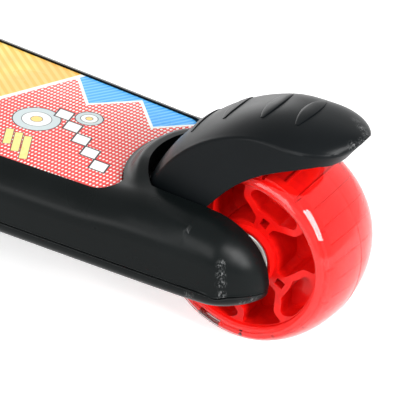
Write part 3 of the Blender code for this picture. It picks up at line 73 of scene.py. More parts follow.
class Look:
    """A Principled material and short names for the nodes that feed it."""

    def __init__(self, name, colour=(0.5, 0.5, 0.5), **values):
        self.mat = bpy.data.materials.new(name)
        self.mat.use_nodes = True
        self.tree = self.mat.node_tree
        self.bsdf = self.tree.nodes["Principled BSDF"]
        self.set(self.bsdf, {"Base Color": (*colour, 1), **values})
        self.place = None

    def set(self, node, values):
        for key, value in values.items():
            socket = node.inputs[key]
            if isinstance(value, bpy.types.NodeSocket):
                self.tree.links.new(value, socket)
            else:
                socket.default_value = value
        return node

    def add(self, kind, values=None, **attributes):
        node = self.tree.nodes.new(kind)
        for key, value in attributes.items():
            setattr(node, key, value)
        return self.set(node, values or {})

    def where(self):
        """The place on the object at rest, in metres."""
        if self.place is None:
            self.place = self.add("ShaderNodeTexCoord").outputs["Object"]
        return self.place

    def moved(self, scale=(1, 1, 1), turn=(0, 0, 0), shift=(0, 0, 0), place=None):
        values = {"Vector": place or self.where(), "Location": shift,
                  "Rotation": [radians(a) for a in turn], "Scale": scale}
        return self.add("ShaderNodeMapping", values).outputs[0]

    def noise(self, size, detail=3.0, rough=0.5, place=None, distortion=0.0):
        values = {"Vector": place or self.where(), "Scale": 1 / size, "Detail": detail,
                  "Roughness": rough, "Distortion": distortion}
        return self.add("ShaderNodeTexNoise", values).outputs["Fac"]

    def math(self, operation, *sockets):
        node = self.add("ShaderNodeMath", operation=operation)
        return self.set(node, dict(enumerate(sockets))).outputs[0]

    def vector(self, operation, *sockets, output=0):
        node = self.add("ShaderNodeVectorMath", operation=operation)
        return self.set(node, dict(enumerate(sockets))).outputs[output]

    def span(self, value, low, high, out_low=0.0, out_high=1.0):
        """A smooth step of the value between two limits, carried over to an output range."""
        values = {"Value": value, "From Min": low, "From Max": high, "To Min": out_low, "To Max": out_high}
        return self.add("ShaderNodeMapRange", values, interpolation_type="SMOOTHSTEP").outputs[0]

    def mix(self, share, first, second):
        a, b = (c if isinstance(c, bpy.types.NodeSocket) else (*c, 1) for c in (first, second))
        return self.add("ShaderNodeMix", {0: share, 6: a, 7: b}, data_type="RGBA").outputs[2]

    def axis(self, name, place=None):
        return self.add("ShaderNodeSeparateXYZ", {0: place or self.where()}).outputs[name]

    def bump(self, height, strength, distance):
        values = {"Height": height, "Strength": strength, "Distance": distance}
        return self.add("ShaderNodeBump", values).outputs[0]

    def near(self, points, radius, softness):
        """1 within a radius of any of some places, falling to 0 over the softness."""
        total = None
        for point in points:
            away = self.vector("DISTANCE", self.where(), point, output=1)
            share = self.span(away, radius + softness, radius)
            total = share if total is None else self.math("MAXIMUM", total, share)
        return total

    def done(self, **values):
        """Feeds the shader's sockets, named with underscores, and gives the material."""
        self.set(self.bsdf, {key.replace("_", " "): value for key, value in values.items()})
        return self.mat


PALE_MARK_GREY = (0.42, 0.43, 0.43)


def black_plastic(name, colour, rough, grain, patch_places=(), patch_size=6 * MM):
    """Moulded plastic with a fine spark-eroded grain, faint sheen changes, light scratches and pale chalky
    patches painted round given places.
    """
    look = Look(name, colour)
    broad = look.noise(30 * MM, 3)
    grainy = look.noise(grain, 2, 0.6)
    lines = look.noise(1.2 * MM, 4, 0.7, look.moved((1, 6, 1), (0, 0, 24)))
    scratch = look.span(lines, 0.70, 0.76)
    rub = look.span(look.noise(9 * MM, 4, 0.65), 0.60, 0.74)
    pale_marks = look.math("MULTIPLY", scratch, rub)
    tone = look.mix(look.span(broad, 0.3, 0.7), colour, tuple(c * 1.25 for c in colour))
    # pale chalky patches painted round the given places, in the same grey as the scratches
    if patch_places:
        patch = look.near(patch_places, patch_size * 0.1, patch_size)
        chalk = look.span(look.noise(0.9 * MM, 5, 0.75, look.moved((1.6, 1.6, 0.6))), 0.50, 0.62)
        pale_marks = look.math("MAXIMUM", pale_marks, look.math("MULTIPLY", chalk, patch))
    colour_out = look.mix(look.math("MULTIPLY", pale_marks, 0.42), tone, PALE_MARK_GREY)
    rough_out = look.math("ADD", look.span(broad, 0.25, 0.75, rough - 0.03, rough + 0.05),
                          look.math("MULTIPLY", pale_marks, 0.2))
    bumps = look.bump(grainy, 0.22, 0.05 * MM)
    return look.done(Base_Color=colour_out, Roughness=rough_out, Normal=bumps, Specular_IOR_Level=0.10)


def metal(name, colour, rough, along=(1, 1, 40), streak=0.6 * MM):
    """Bare metal with fine drawn lines, small stains and handling marks."""
    look = Look(name, colour, Metallic=1.0)
    lines = look.noise(streak, 3, 0.6, look.moved(along))
    stains = look.noise(11 * MM, 4, 0.6)
    tone = look.mix(look.span(stains, 0.35, 0.7), colour, tuple(c * 0.86 for c in colour))
    rough_out = look.math("ADD", look.span(lines, 0.3, 0.7, rough - 0.05, rough + 0.07),
                          look.span(stains, 0.5, 0.8, 0.0, 0.08))
    return look.done(Base_Color=tone, Roughness=rough_out, Normal=look.bump(lines, 0.12, 0.03 * MM))


def core_plastic():
    """Glossy red plastic, a little translucent, with faint flow marks."""
    colour = (0.78, 0.008, 0.005)
    look = Look("core_red_plastic", colour)
    flow = look.noise(7 * MM, 3, 0.55, distortion=1.2)
    tone = look.mix(look.span(flow, 0.3, 0.75), colour, (0.66, 0.005, 0.005))
    return look.done(Base_Color=tone, Roughness=look.span(flow, 0.3, 0.8, 0.15, 0.24),
                     Normal=look.bump(look.noise(1.5 * MM, 2), 0.05, 0.05 * MM),
                     Specular_IOR_Level=0.2)


def clear_polyurethane():
    """Clear cast polyurethane. Light passes straight through it to the core, with no caustics."""
    look = Look("clear_polyurethane", (1.0, 0.84, 0.83))
    tree = look.tree
    marks = look.span(look.noise(2.2 * MM, 4, 0.7, look.moved((1, 5, 1), (10, 0, 0))), 0.62, 0.75)
    rough = look.math("MULTIPLY", marks, 0.10)
    look.done(Roughness=look.math("ADD", rough, 0.03), IOR=1.42, Transmission_Weight=1.0,
              Normal=look.bump(look.noise(6 * MM, 2), 0.05, 0.2 * MM))
    path = look.add("ShaderNodeLightPath")
    through = look.math("MAXIMUM", path.outputs["Is Shadow Ray"], path.outputs["Is Diffuse Ray"])
    blend = look.add("ShaderNodeMixShader")
    clear = look.add("ShaderNodeBsdfTransparent", {"Color": (1.0, 0.93, 0.92, 1)})
    tree.links.new(through, blend.inputs[0])
    tree.links.new(look.bsdf.outputs[0], blend.inputs[1])
    tree.links.new(clear.outputs[0], blend.inputs[2])
    tree.links.new(blend.outputs[0], tree.nodes["Material Output"].inputs["Surface"])
    return look.mat


def soft_rubber(name, colour, rough):
    """Dull rubber with a fine speckle and dust in its pores."""
    look = Look(name, colour)
    speck = look.noise(0.5 * MM, 3, 0.7)
    dust = look.span(look.noise(16 * MM, 4, 0.6), 0.55, 0.8)
    tone = look.mix(look.math("MULTIPLY", dust, 0.25), colour, tuple(c * 0.6 + 0.05 for c in colour))
    return look.done(Base_Color=tone, Roughness=look.span(dust, 0, 1, rough, rough + 0.1),
                     Normal=look.bump(speck, 0.3, 0.08 * MM), Specular_IOR_Level=0.3)


def moulded(name, colour, rough=0.4):
    """Plain moulded plastic in a light or bright colour."""
    look = Look(name, colour)
    shade = look.noise(8 * MM, 3, 0.6)
    tone = look.mix(look.span(shade, 0.3, 0.75), colour, tuple(c * 0.85 for c in colour))
    return look.done(Base_Color=tone, Roughness=look.span(shade, 0.3, 0.7, rough, rough + 0.1),
                     Normal=look.bump(look.noise(0.6 * MM, 2), 0.08, 0.05 * MM))


INK, PAPER = (0.012, 0.012, 0.016), (0.91, 0.95, 0.90)
DOT_RED = (0.76, 0.036, 0.032)
DOTS_PER_METRE = (640, 420, 0)
BLUES = (0.05, 0.38, 0.92), (0.16, 0.55, 0.97)
YELLOWS = (0.95, 0.56, 0.07), (0.97, 0.72, 0.20)
ORANGE = (0.95, 0.38, 0.10)
BAR_YELLOW, BAR_WHITE, DIAMOND_WHITE = (0.94, 0.74, 0.25), (0.93, 0.95, 0.92), (0.92, 0.95, 0.93)
# share of the radius, colour and line width in mm of a disc's three rings
DISC_RINGS = ((1, (0.56, 0.64, 0.65), 0.45), (0.62, (0.88, 0.92, 0.91), 0.3), (0.24, (0.93, 0.66, 0.20), 0.3))
# x, y and radius in mm
DISCS = ((-131, 5, 9.5), (-147, -9, 5.5), (-60, 12, 11), (-40, -22, 6), (30, 8, 12))


def printed():
    """A generic print: a dotted ground, striped fields with white edges, discs, bars and diamonds."""
    look = Look("panel_print")
    flat = look.vector("MULTIPLY", look.where(), (1, 1, 0))
    soft = 0.10 * MM

    def local(x, y, turn=0):
        moved = look.moved(turn=(0, 0, turn), place=look.vector("SUBTRACT", flat, (x * MM, y * MM, 0)))
        split = look.add("ShaderNodeSeparateXYZ", {0: moved})
        return split.outputs[0], split.outputs[1]

    def inside(distance):
        return look.span(distance, soft, -soft)

    def zigzag(value, pitch):
        """Falls from 0.5 to 0 and rises again once in each pitch."""
        wave = look.math("FRACT", look.math("MULTIPLY", value, 1 / (pitch * MM)))
        return look.math("ABSOLUTE", look.math("SUBTRACT", wave, 0.5))

    def striped(turn, pitch, share, colours):
        away = zigzag(look.axis("X", look.moved(turn=(0, 0, turn))), pitch)
        return look.mix(look.span(away, share / 2 + 0.05, share / 2 - 0.05), *colours)

    def bar(x, y, turn, half_x, half_y):
        u, v = (look.math("ABSOLUTE", value) for value in local(x, y, turn))
        return look.math("MAXIMUM", look.math("SUBTRACT", u, half_x * MM),
                         look.math("SUBTRACT", v, half_y * MM))

    def disc(x, y, radius):
        away = look.vector("DISTANCE", flat, (x * MM, y * MM, 0), output=1)
        return look.math("SUBTRACT", away, radius * MM)

    def edged(base, distance, width, fill):
        """A filled shape with a white edge of a given width outside it."""
        base = look.mix(inside(look.math("SUBTRACT", distance, width * MM)), base, PAPER)
        return look.mix(inside(distance), base, fill)

    def outlined(base, distance, fill, line):
        dark = look.mix(inside(look.math("SUBTRACT", distance, line * MM)), base, INK)
        return look.mix(inside(distance), dark, fill)

    u, v = local(0, 0)
    cell = look.vector("FRACTION", look.vector("MULTIPLY", flat, DOTS_PER_METRE))
    away = look.vector("LENGTH", look.vector("SUBTRACT", cell, (0.5, 0.5, 0)), output=1)
    size = look.span(v, 10 * MM, -38 * MM, 0.26, 0.35)
    dots = look.span(look.math("SUBTRACT", away, size), 0.06, -0.06)
    colour = look.mix(dots, DOT_RED, PAPER)
    # a sawtooth row of blue along the far side
    teeth = look.math("MULTIPLY", zigzag(u, 31), -34 * MM)
    row = look.math("SUBTRACT", look.math("ADD", v, 20 * MM), teeth)
    blue = striped(28, 2.3, 0.45, BLUES)
    colour = edged(colour, row, 2.0, blue)
    # a yellow field ahead of a slanting white band, a blue band and a second yellow field
    glow = look.span(look.noise(26 * MM, 2), 0.42, 0.62)
    yellow = look.mix(look.math("MULTIPLY", glow, 0.4), striped(-52, 3.4, 0.5, YELLOWS), ORANGE)
    for start, length, inner in ((-108, 62, yellow), (-28, 14, blue), (8, 90, yellow)):
        side, _ = local(start, 0, 20)
        away = look.math("ABSOLUTE", look.math("SUBTRACT", side, length / 2 * MM))
        colour = edged(colour, look.math("SUBTRACT", away, length / 2 * MM), 2.2, inner)
    # discs, bars and a row of diamonds with dark outlines
    for x, y, radius in DISCS:
        for share, fill, line in DISC_RINGS:
            colour = outlined(colour, disc(x, y, radius * share), fill, line)
    for k in range(3):
        colour = outlined(colour, bar(-141 + 5.2 * k, 27 - 1.6 * k, 62, 9 - 1.5 * k, 1.5), BAR_YELLOW, 0.3)
        colour = outlined(colour, bar(-12 + 5.2 * k, -4 + 2 * k, -40, 12 - 2 * k, 1.5), BAR_WHITE, 0.3)
    for k in range(5):
        u, v = (look.math("ABSOLUTE", value) for value in local(-171 + 8.4 * k, 21 - 6.6 * k, 38))
        shape = look.math("SUBTRACT", look.math("ADD", u, look.math("MULTIPLY", v, 1.25)), 4.9 * MM)
        colour = outlined(colour, shape, DIAMOND_WHITE, 1.1)
    return laminated(look, colour)


def laminated(look, colour):
    """The satin film over a print, with fine scratches from shoes."""
    lines = look.noise(1.6 * MM, 4, 0.75, look.moved((1, 9, 1), (0, 0, 12)))
    marks = look.math("MULTIPLY", look.span(lines, 0.66, 0.74), look.span(look.noise(25 * MM, 3), 0.45, 0.7))
    worn = look.mix(look.math("MULTIPLY", marks, 0.25), colour, (0.75, 0.73, 0.72))
    rough = look.math("ADD", look.span(look.noise(20 * MM, 2), 0.3, 0.7, 0.26, 0.34),
                      look.math("MULTIPLY", marks, 0.25))
    return look.done(Base_Color=worn, Roughness=rough, Specular_IOR_Level=0.18,
                     Normal=look.bump(look.noise(0.9 * MM, 2, 0.6), 0.1, 0.04 * MM))


# ---- looks ----

# places of pale chalky patches painted on the arm beside the wheel and the lower shell, and on the brake's
# tail
ARM_PALE_PATCHES = [(-0.2368, 0.0406, 0.0478), (-0.2376, 0.0414, 0.0440), (-0.2380, 0.0413, 0.0400),
             (-0.2386, 0.0410, 0.0355), (-0.2440, 0.0345, 0.0310), (-0.2475, 0.0320, 0.0315),
             (-0.2262, 0.0425, 0.0310), (-0.2290, -0.0420, 0.0330)]
TAIL_PALE_PATCHES = [(-0.2610, -0.0066, 0.0960), (-0.2648, -0.0029, 0.0956), (-0.2682, -0.0010, 0.0948),
              (-0.2690, 0.0035, 0.0940), (-0.2670, 0.0080, 0.0935)]
BRAKE_BLACK = black_plastic("brake_plastic", (0.0033, 0.0044, 0.0051), 0.32, 0.35 * MM, TAIL_PALE_PATCHES, 3 * MM)
STEEL = metal("zinc_steel", (0.48, 0.48, 0.46), 0.32, (1, 1, 1))
LOOKS = {
    "black_plastic": black_plastic("deck_plastic", (0.0026, 0.0038, 0.0039), 0.29, 0.35 * MM,
                                   ARM_PALE_PATCHES, 2.4 * MM),
    "frame_plastic": black_plastic("frame_plastic", (0.0060, 0.0066, 0.0070), 0.42, 0.5 * MM),
    "panel_print": printed(),
    "zinc_steel": STEEL,
    "bearing_steel": STEEL,
    "tube_aluminium": metal("tube_aluminium", (0.46, 0.47, 0.49), 0.34),
    "nylon": moulded("nylon", (0.88, 0.87, 0.84)),
    "button_red": moulded("button_red", (0.72, 0.014, 0.012), 0.3),
    "light_circuit": moulded("light_potting", (0.30, 0.28, 0.26), 0.5),
    "elastomer": soft_rubber("elastomer", (0.62, 0.05, 0.04), 0.5),
    "grip_rubber": soft_rubber("grip_rubber", (0.018, 0.018, 0.020), 0.72),
    "clear_tyre": clear_polyurethane(),
    "core_red": core_plastic(),
}
SLOT_OF = {s["node"]: s["material_slot"] for s in frame["record"]["subparts"]}
made = set()


# ---- mesh helpers ----

def shaded(mesh, angle=35):
    mesh.shade_smooth()
    mesh.set_sharp_from_angle(angle=radians(angle))
    return mesh


def linked(name, data):
    obj = bpy.data.objects.new(name, data)
    bpy.context.scene.collection.objects.link(obj)
    return obj


def mesh_from(name, bm, angle=35):
    bmesh.ops.recalc_face_normals(bm, faces=bm.faces)
    mesh = bpy.data.meshes.new(name)
    bm.to_mesh(mesh)
    bm.free()
    return shaded(mesh, angle)


def bevelled(obj, width, angle=30):
    bevel = obj.modifiers.new("edges", "BEVEL")
    bevel.width = width
    bevel.segments = 2
    bevel.limit_method = "ANGLE"
    bevel.angle_limit = radians(angle)


def joined(node):
    """A CAD node's own facets with their corners joined."""
    bm = bmesh.new()
    bm.from_mesh(frame["nodes"][node].data)
    bmesh.ops.remove_doubles(bm, verts=bm.verts, dist=0.000002)
    return bm


def finer(name, bm, slot, node, angle=35, bevel=0.0):
    """A finished mesh, in the row frame, in place of a CAD node and on its body."""
    obj = linked(name, mesh_from(name, bm, angle))
    obj.data.materials.append(LOOKS[slot])
    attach(obj, frame["nodes"][node]["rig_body"])
    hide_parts(node)
    if bevel:
        bevelled(obj, bevel)
    made.add(node)
    return obj


def dressed(node, slot):
    """A CAD node's own form with its edges softened and its faces shaded."""
    bm = joined(node)
    bmesh.ops.dissolve_limit(bm, angle_limit=radians(0.6), verts=bm.verts, edges=bm.edges)
    finer(f"{node}_skin", bm, slot, node, bevel=0.25 * MM)


def add_strip(bm, near, far, closed=True):
    """Quads between two equally long rows of vertices."""
    count = len(near)
    for i in range(count if closed else count - 1):
        j = (i + 1) % count
        bm.faces.new((near[i], near[j], far[j], far[i]))


def add_loft(bm, rings):
    """A capped skin over rings of equally many points."""
    rows = [[bm.verts.new(p) for p in ring] for ring in rings]
    for near, far in zip(rows, rows[1:]):
        add_strip(bm, near, far)
    bm.faces.new(rows[0])
    bm.faces.new(rows[-1])
    return bm


def add_turned(bm, profile, segments, place, closed=True):
    """A turned form: (radius, height) points swept round Z, then placed by a matrix."""
    rows = []
    for k in range(segments):
        a = 2 * pi * k / segments
        rows.append([bm.verts.new(place @ Vector((r * cos(a), r * sin(a), h)))
                     for r, h in profile])
    for k in range(segments):
        add_strip(bm, rows[k], rows[(k + 1) % segments], closed)
    bmesh.ops.remove_doubles(bm, verts=bm.verts, dist=0.000001)
    return bm


def add_prism(bm, loops, low, high, place):
    """A flat outline with holes, between two heights, placed by a matrix."""
    curve = bpy.data.curves.new("outline", "CURVE")
    curve.dimensions = "2D"
    curve.fill_mode = "BOTH"
    curve.extrude = (high - low) / 2
    for loop in loops:
        spline = curve.splines.new("POLY")
        spline.points.add(len(loop) - 1)
        for point, (x, y) in zip(spline.points, loop):
            point.co = (x, y, 0, 1)
        spline.use_cyclic_u = True
    obj = linked("outline", curve)
    mesh = bpy.data.meshes.new_from_object(obj.evaluated_get(bpy.context.evaluated_depsgraph_get()))
    bpy.data.objects.remove(obj)
    mesh.transform(place @ Matrix.Translation((0, 0, (high + low) / 2)))
    bm.from_mesh(mesh)
    bpy.data.meshes.remove(mesh)
    bmesh.ops.remove_doubles(bm, verts=bm.verts, dist=0.000002)
    return bm


def boolean(obj, tool_bm, operation="DIFFERENCE"):
    """Cuts or joins a closed form, and keeps the result as the piece's own mesh."""
    tool = linked("tool", mesh_from("tool", tool_bm))
    modifier = obj.modifiers.new("cut", "BOOLEAN")
    modifier.operation, modifier.solver, modifier.object = operation, "EXACT", tool
    mesh = bpy.data.meshes.new_from_object(obj.evaluated_get(bpy.context.evaluated_depsgraph_get()))
    obj.modifiers.remove(modifier)
    obj.data = mesh
    bpy.data.objects.remove(tool)


def finished(obj):
    """Shades a cut piece so that its flat faces stay flat beside its round ones."""
    shaded(obj.data)
    normals = obj.modifiers.new("normals", "WEIGHTED_NORMAL")
    normals.keep_sharp = True


def round_off(t, power):
    """A superellipse's fall from 1 to 0 as t goes from 0 to 1."""
    return (1 - min(max(t, 0), 1) ** power) ** (1 / power)


def smooth_step(value, start, end):
    t = min(max((value - start) / (end - start), 0), 1)
    return t * t * (3 - 2 * t)


def arc(cx, cy, radius, start, end, steps):
    angles = [radians(start + (end - start) * i / steps) for i in range(steps + 1)]
    return [(cx + radius * cos(a), cy + radius * sin(a)) for a in angles]


def circle(radius, steps):
    return arc(0, 0, radius, 0, 360, steps)[:-1]


def stepped(base, *steps):
    """(radius, height) points at steps in mm from a base point."""
    return [(base[0] + r * MM, base[1] + h * MM) for r, h in steps]


def mirrored(half):
    """A (radius, height) profile's run back on the other side of height 0."""
    return [(r, -h) for r, h in reversed(half)]


def spread(start, end, count):
    return [start + (end - start) * i / (count - 1) for i in range(count)]


# ---- wheels ----

HUB_TURN = Matrix.Rotation(radians(-90), 4, "X")  # a hub's own Z axis becomes the axle
REAR_HUB = Matrix.Translation(REAR_AXLE) @ HUB_TURN
TRUCK = Matrix.Translation(FRONT_AXLE) @ Matrix.Rotation(radians(45), 4, "Y")
TYRE_HALF_WIDTH = 22.4 * MM
TYRE_CROWN = 7.9 * MM
TYRE_THICKNESS = 6.8 * MM
CROWN_POWER = 1.82
CROWN_SHARE = 0.985  # the part of the tyre's half width that its tread covers
SEAM_DEPTH = 0.13 * MM
RIM_HALF_WIDTH = 19.4 * MM
RIM_THICKNESS = 3.2 * MM
RIB_HALF_WIDTH = 18.2 * MM
BOSS_HALF_WIDTH = 21 * MM
BOSS_RADIUS = 12.8 * MM
POCKET_TURN = 68
LIGHT_TURN = 70
RIDGES = 30
NOTCHES = 15
LIGHT_NOTCH = 3
BEARING_HALF_WIDTH = 3.5 * MM
BEARING_PLACE = 17.5 * MM
AXLE_HOLE = 4.3 * MM
WELL_HALF_WIDTH = 26 * MM


def tyre_bm(radius, hub):
    """The clear tyre: crowned tread with a fine mould seam and rounded sides.

    Its bore and its lip over the rim end just inside the core, so no thin air gap mirrors the light.
    """
    bore = radius - TYRE_THICKNESS - GAP
    side = radius - TYRE_CROWN
    tread = []
    for k in range(-20, 21):
        share = CROWN_SHARE * sin(radians(90 * k / 20))
        r = side + TYRE_CROWN * round_off(abs(share), CROWN_POWER)
        if k == 0:
            foot = r - SEAM_DEPTH
            tread += [(foot, -0.42 * MM), (r, -0.26 * MM), (r, 0.26 * MM), (foot, 0.42 * MM)]
        else:
            tread.append((r - SEAM_DEPTH * exp(-(share / 0.12) ** 2), TYRE_HALF_WIDTH * share))
    edge = [(side - 0.6 * MM, TYRE_HALF_WIDTH * 0.975), (side - 1.0 * MM, TYRE_HALF_WIDTH * 0.955),
            (side - 1.3 * MM, TYRE_HALF_WIDTH * 0.92), (side - 1.1 * MM, RIM_HALF_WIDTH - 0.1 * MM),
            (bore, RIM_HALF_WIDTH - 0.5 * MM)]
    return add_turned(bmesh.new(), mirrored(edge) + tread + edge, 160, hub)


def pocket_loops(rim, boss, units):
    """Fine outlines of a core's three kinds of pocket, as (radius, angle) runs round angle 0."""
    spread_by = 4 / units  # the outlines are drawn for a core of four units

    def at(share, turn):
        r, a = boss + (rim - boss) * share, radians(turn * spread_by)
        return (r * cos(a), r * sin(a))

    def both(half):
        return [at(s, a) for s, a in half] + [at(s, -a) for s, a in reversed(half) if a > 0]

    outer = both([(1, 0), (1, 7), (1, 14), (0.985, 17), (0.93, 20.5), (0.86, 22.9), (0.80, 23.4),
                  (0.74, 22.6), (0.62, 17.5), (0.53, 14), (0.51, 12.5), (0.505, 6), (0.505, 0)])
    cell = both([(0.375, 0), (0.375, 3.6), (0.355, 4.6), (0.18, 5.6), (0.16, 4.6), (0.16, 0)])
    between = both([(1, 0), (1, 8), (1, 15), (0.975, 16.4), (0.93, 16.6), (0.85, 15.9), (0.72, 15.6),
                    (0.62, 17.8), (0.5, 22.5), (0.4, 27), (0.33, 30.6), (0.28, 31.9), (0.16, 32.2),
                    (0.11, 31.5), (0.10, 29), (0.10, 14), (0.10, 0)])
    return tuple(rounded_loop(loop) for loop in (outer, cell, between))


def rounded_loop(points):
    """A smooth closed run through the points (Catmull-Rom)."""
    count, out = len(points), []
    for i in range(count):
        a, b, c, d = (Vector(points[(i + k) % count]) for k in (-1, 0, 1, 2))
        for t in (0, 0.25, 0.5, 0.75):
            p = 0.5 * (2 * b + (c - a) * t + (2 * a - 5 * b + 4 * c - d) * t ** 2
                       + (3 * b - a - 3 * c + d) * t ** 3)
            out.append(tuple(p))
    return out


def turned_loop(loop, turn):
    c, s = cos(radians(turn)), sin(radians(turn))
    return [(x * c - y * s, x * s + y * c) for x, y in loop]


def web_bm(radius, units, hub):
    """The ribs between a core's pockets, sharp-edged: a bevel rounds them afterwards."""
    rim = radius - TYRE_THICKNESS - RIM_THICKNESS
    step = 360 / units
    holes = []
    for loop, turn in zip(pocket_loops(rim - 0.5 * MM, BOSS_RADIUS, units), (0, 0, step / 2)):
        holes += [turned_loop(loop, POCKET_TURN + turn + step * k) for k in range(units)]
    outline = [circle(rim + 0.6 * MM, 120), circle(BOSS_RADIUS - 0.4 * MM, 60)]
    return add_prism(bmesh.new(), outline + holes, -RIB_HALF_WIDTH, RIB_HALF_WIDTH, hub)


def add_ridges(bm, outside, hub):
    """Fine ridges across the rim's outside, seen through the tyre."""
    step = 360 / RIDGES
    for k in range(RIDGES):
        ridge = arc(0, 0, outside + 0.75 * MM, step * k - 0.7, step * k + 0.7, 2)
        ridge += arc(0, 0, outside - 0.4 * MM, step * k + 1.1, step * k - 1.1, 2)
        add_prism(bm, [ridge], -16 * MM, 16 * MM, hub)


def add_flanges(bm, outside, hub):
    """A notched ring at each edge of the rim that anchors the tyre, with a wide notch at the light."""
    step = 360 / NOTCHES
    halves = [7.5 if k == LIGHT_NOTCH else 0.8 for k in range(NOTCHES)]
    outline = []
    for k, half in enumerate(halves):
        start, end = step * k + half + 0.6, step * (k + 1) - 0.6 - halves[(k + 1) % NOTCHES]
        outline += arc(0, 0, outside + 0.2 * MM, step * k - half, step * k + half, 6)
        outline += arc(0, 0, outside + 1.7 * MM, start, end, 10)
    for sign in (1, -1):
        low, high = sorted((sign * 14.5 * MM, sign * 18.2 * MM))
        add_prism(bm, [outline, circle(outside - 0.3 * MM, 96)], low, high, hub)


def core_bm(radius, units, hub):
    """The core's pocket floors at three depths, its stepped rim and its bearing boss."""
    outside = radius - TYRE_THICKNESS
    rim = outside - RIM_THICKNESS
    web = 2.5 * MM
    bm = bmesh.new()
    add_prism(bm, [circle(rim + MM, 96), circle(BOSS_RADIUS - MM, 48)], -web, web, hub)
    outer, cell, _ = pocket_loops(rim - 0.5 * MM, BOSS_RADIUS, units)
    for loop, web in ((outer, 9 * MM), (cell, 7 * MM)):
        for k in range(units):
            placed = [Vector(p) for p in turned_loop(loop, POCKET_TURN + 360 / units * k)]
            middle = sum(placed, Vector((0, 0))) / len(placed)
            grown = [tuple(p + (p - middle).normalized() * 0.5 * MM) for p in placed]
            add_prism(bm, [grown], -web, web, hub)
    top, low = RIM_HALF_WIDTH, RIB_HALF_WIDTH
    rim_half = stepped((outside, top), (0, -0.5), (-0.15, -0.15), (-0.5, 0))
    rim_half += stepped((rim, top), (0.5, 0), (0.1, -0.15), (-0.1, -0.5)) + stepped((rim, low), (-0.3, -0.2))
    add_turned(bm, rim_half + mirrored(rim_half), 160, hub)
    add_ridges(bm, outside, hub)
    add_flanges(bm, outside, hub)
    end = BOSS_HALF_WIDTH
    boss_half = stepped((BOSS_RADIUS, low), (0.25, -0.4), (0, 0.3))
    boss_half += stepped((BOSS_RADIUS, end), (0, -0.4), (-0.12, -0.12), (-0.4, 0))
    boss_half += stepped((0, end), (11.7, 0), (11.4, -0.1), (11.3, -0.4), (11.3, -7.3), (9.2, -7.3))
    add_turned(bm, boss_half + mirrored(boss_half), 96, hub)
    return bm


def returned(node, place, segments=96, bevel=0.2 * MM):
    """A CAD node that is round about a placed Z axis, turned again from its own profile in fine steps."""
    back = place.inverted()
    bm = joined(node)
    local = {v.index: back @ v.co for v in bm.verts}
    radius = {i: hypot(p.x, p.y) for i, p in local.items()}
    bm.verts.ensure_lookup_table()
    first = max(local, key=lambda i: (round(radius[i], 6), i))
    ray = Vector((local[first].x, local[first].y)).normalized()
    on = [i for i, p in local.items()
          if radius[i] < 0.00001 or Vector((p.x, p.y)).normalized().dot(ray) > 0.99999]
    links = {i: {e.other_vert(bm.verts[i]).index for e in bm.verts[i].link_edges} & set(on) for i in on}
    axis = [i for i in on if radius[i] < 0.00001]
    order = [axis[0] if axis else first]
    while len(order) < len(on):
        here, left = order[-1], [i for i in on if i not in order]
        near = [i for i in left if i in links[here]] or left
        order.append(min(near, key=lambda i: (abs(local[i].z - local[here].z) > 0.000003
                                              and abs(radius[i] - radius[here]) > 0.000003,
                                              (local[i] - local[here]).length)))
    bm.free()
    profile = [(radius[i], local[i].z) for i in order]
    turned = add_turned(bmesh.new(), profile, segments, place, closed=not axis)
    finer(f"{node}_skin", turned, SLOT_OF[node], node, 35, bevel)


def build_bearing(node, hub, centre):
    """A sealed bearing: outer ring, sunk shield and inner ring on both faces."""
    half = [(4.3, -0.2), (4.5, 0), (6.0, 0), (6.2, -0.2), (6.2, -0.55), (9.4, -0.55), (9.4, -0.2),
            (9.6, 0), (10.8, 0), (11.0, -0.2)]
    profile = [(r * MM, centre + BEARING_HALF_WIDTH + h * MM) for r, h in half]
    profile += [(r * MM, centre - BEARING_HALF_WIDTH - h * MM) for r, h in reversed(half)]
    finer(f"{node}_skin", add_turned(bmesh.new(), profile, 64, hub), "bearing_steel", node)


def build_spacer(name, sign, hub):
    """A flanged sleeve on the rear axle, turned finely, with a softened flange."""
    start, end = BOSS_HALF_WIDTH + GAP, WELL_HALF_WIDTH - GAP
    profile = [(AXLE_HOLE, start)]
    profile += stepped((0, start), (9.7, 0), (10, 0.3), (10, 0.8), (9.7, 1.1), (6.8, 1.1), (6.5, 1.4))
    profile += stepped((0, end), (6.5, -0.2), (6.3, 0)) + [(AXLE_HOLE, end)]
    bm = add_turned(bmesh.new(), [(r, sign * h) for r, h in profile], 96, hub)
    finer(f"{name}_skin", bm, "nylon", name)


def build_light(prefix, radius, hub):
    """The potted light under the tyre, a curved block with three lamps and two contacts."""
    top = radius - TYRE_THICKNESS + 0.15 * MM
    half = degrees(7.5 * MM / top)
    start, end = LIGHT_TURN - half, LIGHT_TURN + half
    outline = arc(0, 0, top, start, end, 12) + arc(0, 0, top - 2.3 * MM, end, start, 12)
    bm = add_prism(bmesh.new(), [outline], -6 * MM, 6 * MM, hub)
    lamps, contacts = ((-8, 2.2), (0, -2.6), (8, 2.2)), ((-5.5, -3.2), (6, -3.6))
    for spots, size in ((lamps, 1.4 * MM), (contacts, 0.8 * MM)):
        for turn, height in spots:
            place = hub @ Matrix.Rotation(radians(LIGHT_TURN + turn), 4, "Z")
            place = place @ Matrix.Translation((top, 0, height * MM))
            cube = Matrix.Diagonal((0.5 * MM, 2 * size, 1.2 * size, 1))
            bmesh.ops.create_cube(bm, size=1, matrix=place @ cube)
    finer(f"{prefix}_light_skin", bm, "light_circuit", f"{prefix}_light_module", 35, 0.1 * MM)


def build_wheel(prefix, radius, units, hub):
    finer(f"{prefix}_tyre_skin", tyre_bm(radius, hub), "clear_tyre", f"{prefix}_tyre")
    core = f"{prefix}_core"
    finer(f"{prefix}_core_skin", core_bm(radius, units, hub), "core_red", core, 40)
    finer(f"{prefix}_core_ribs", web_bm(radius, units, hub), "core_red", core, 40, 0.55 * MM)
    build_light(prefix, radius, hub)


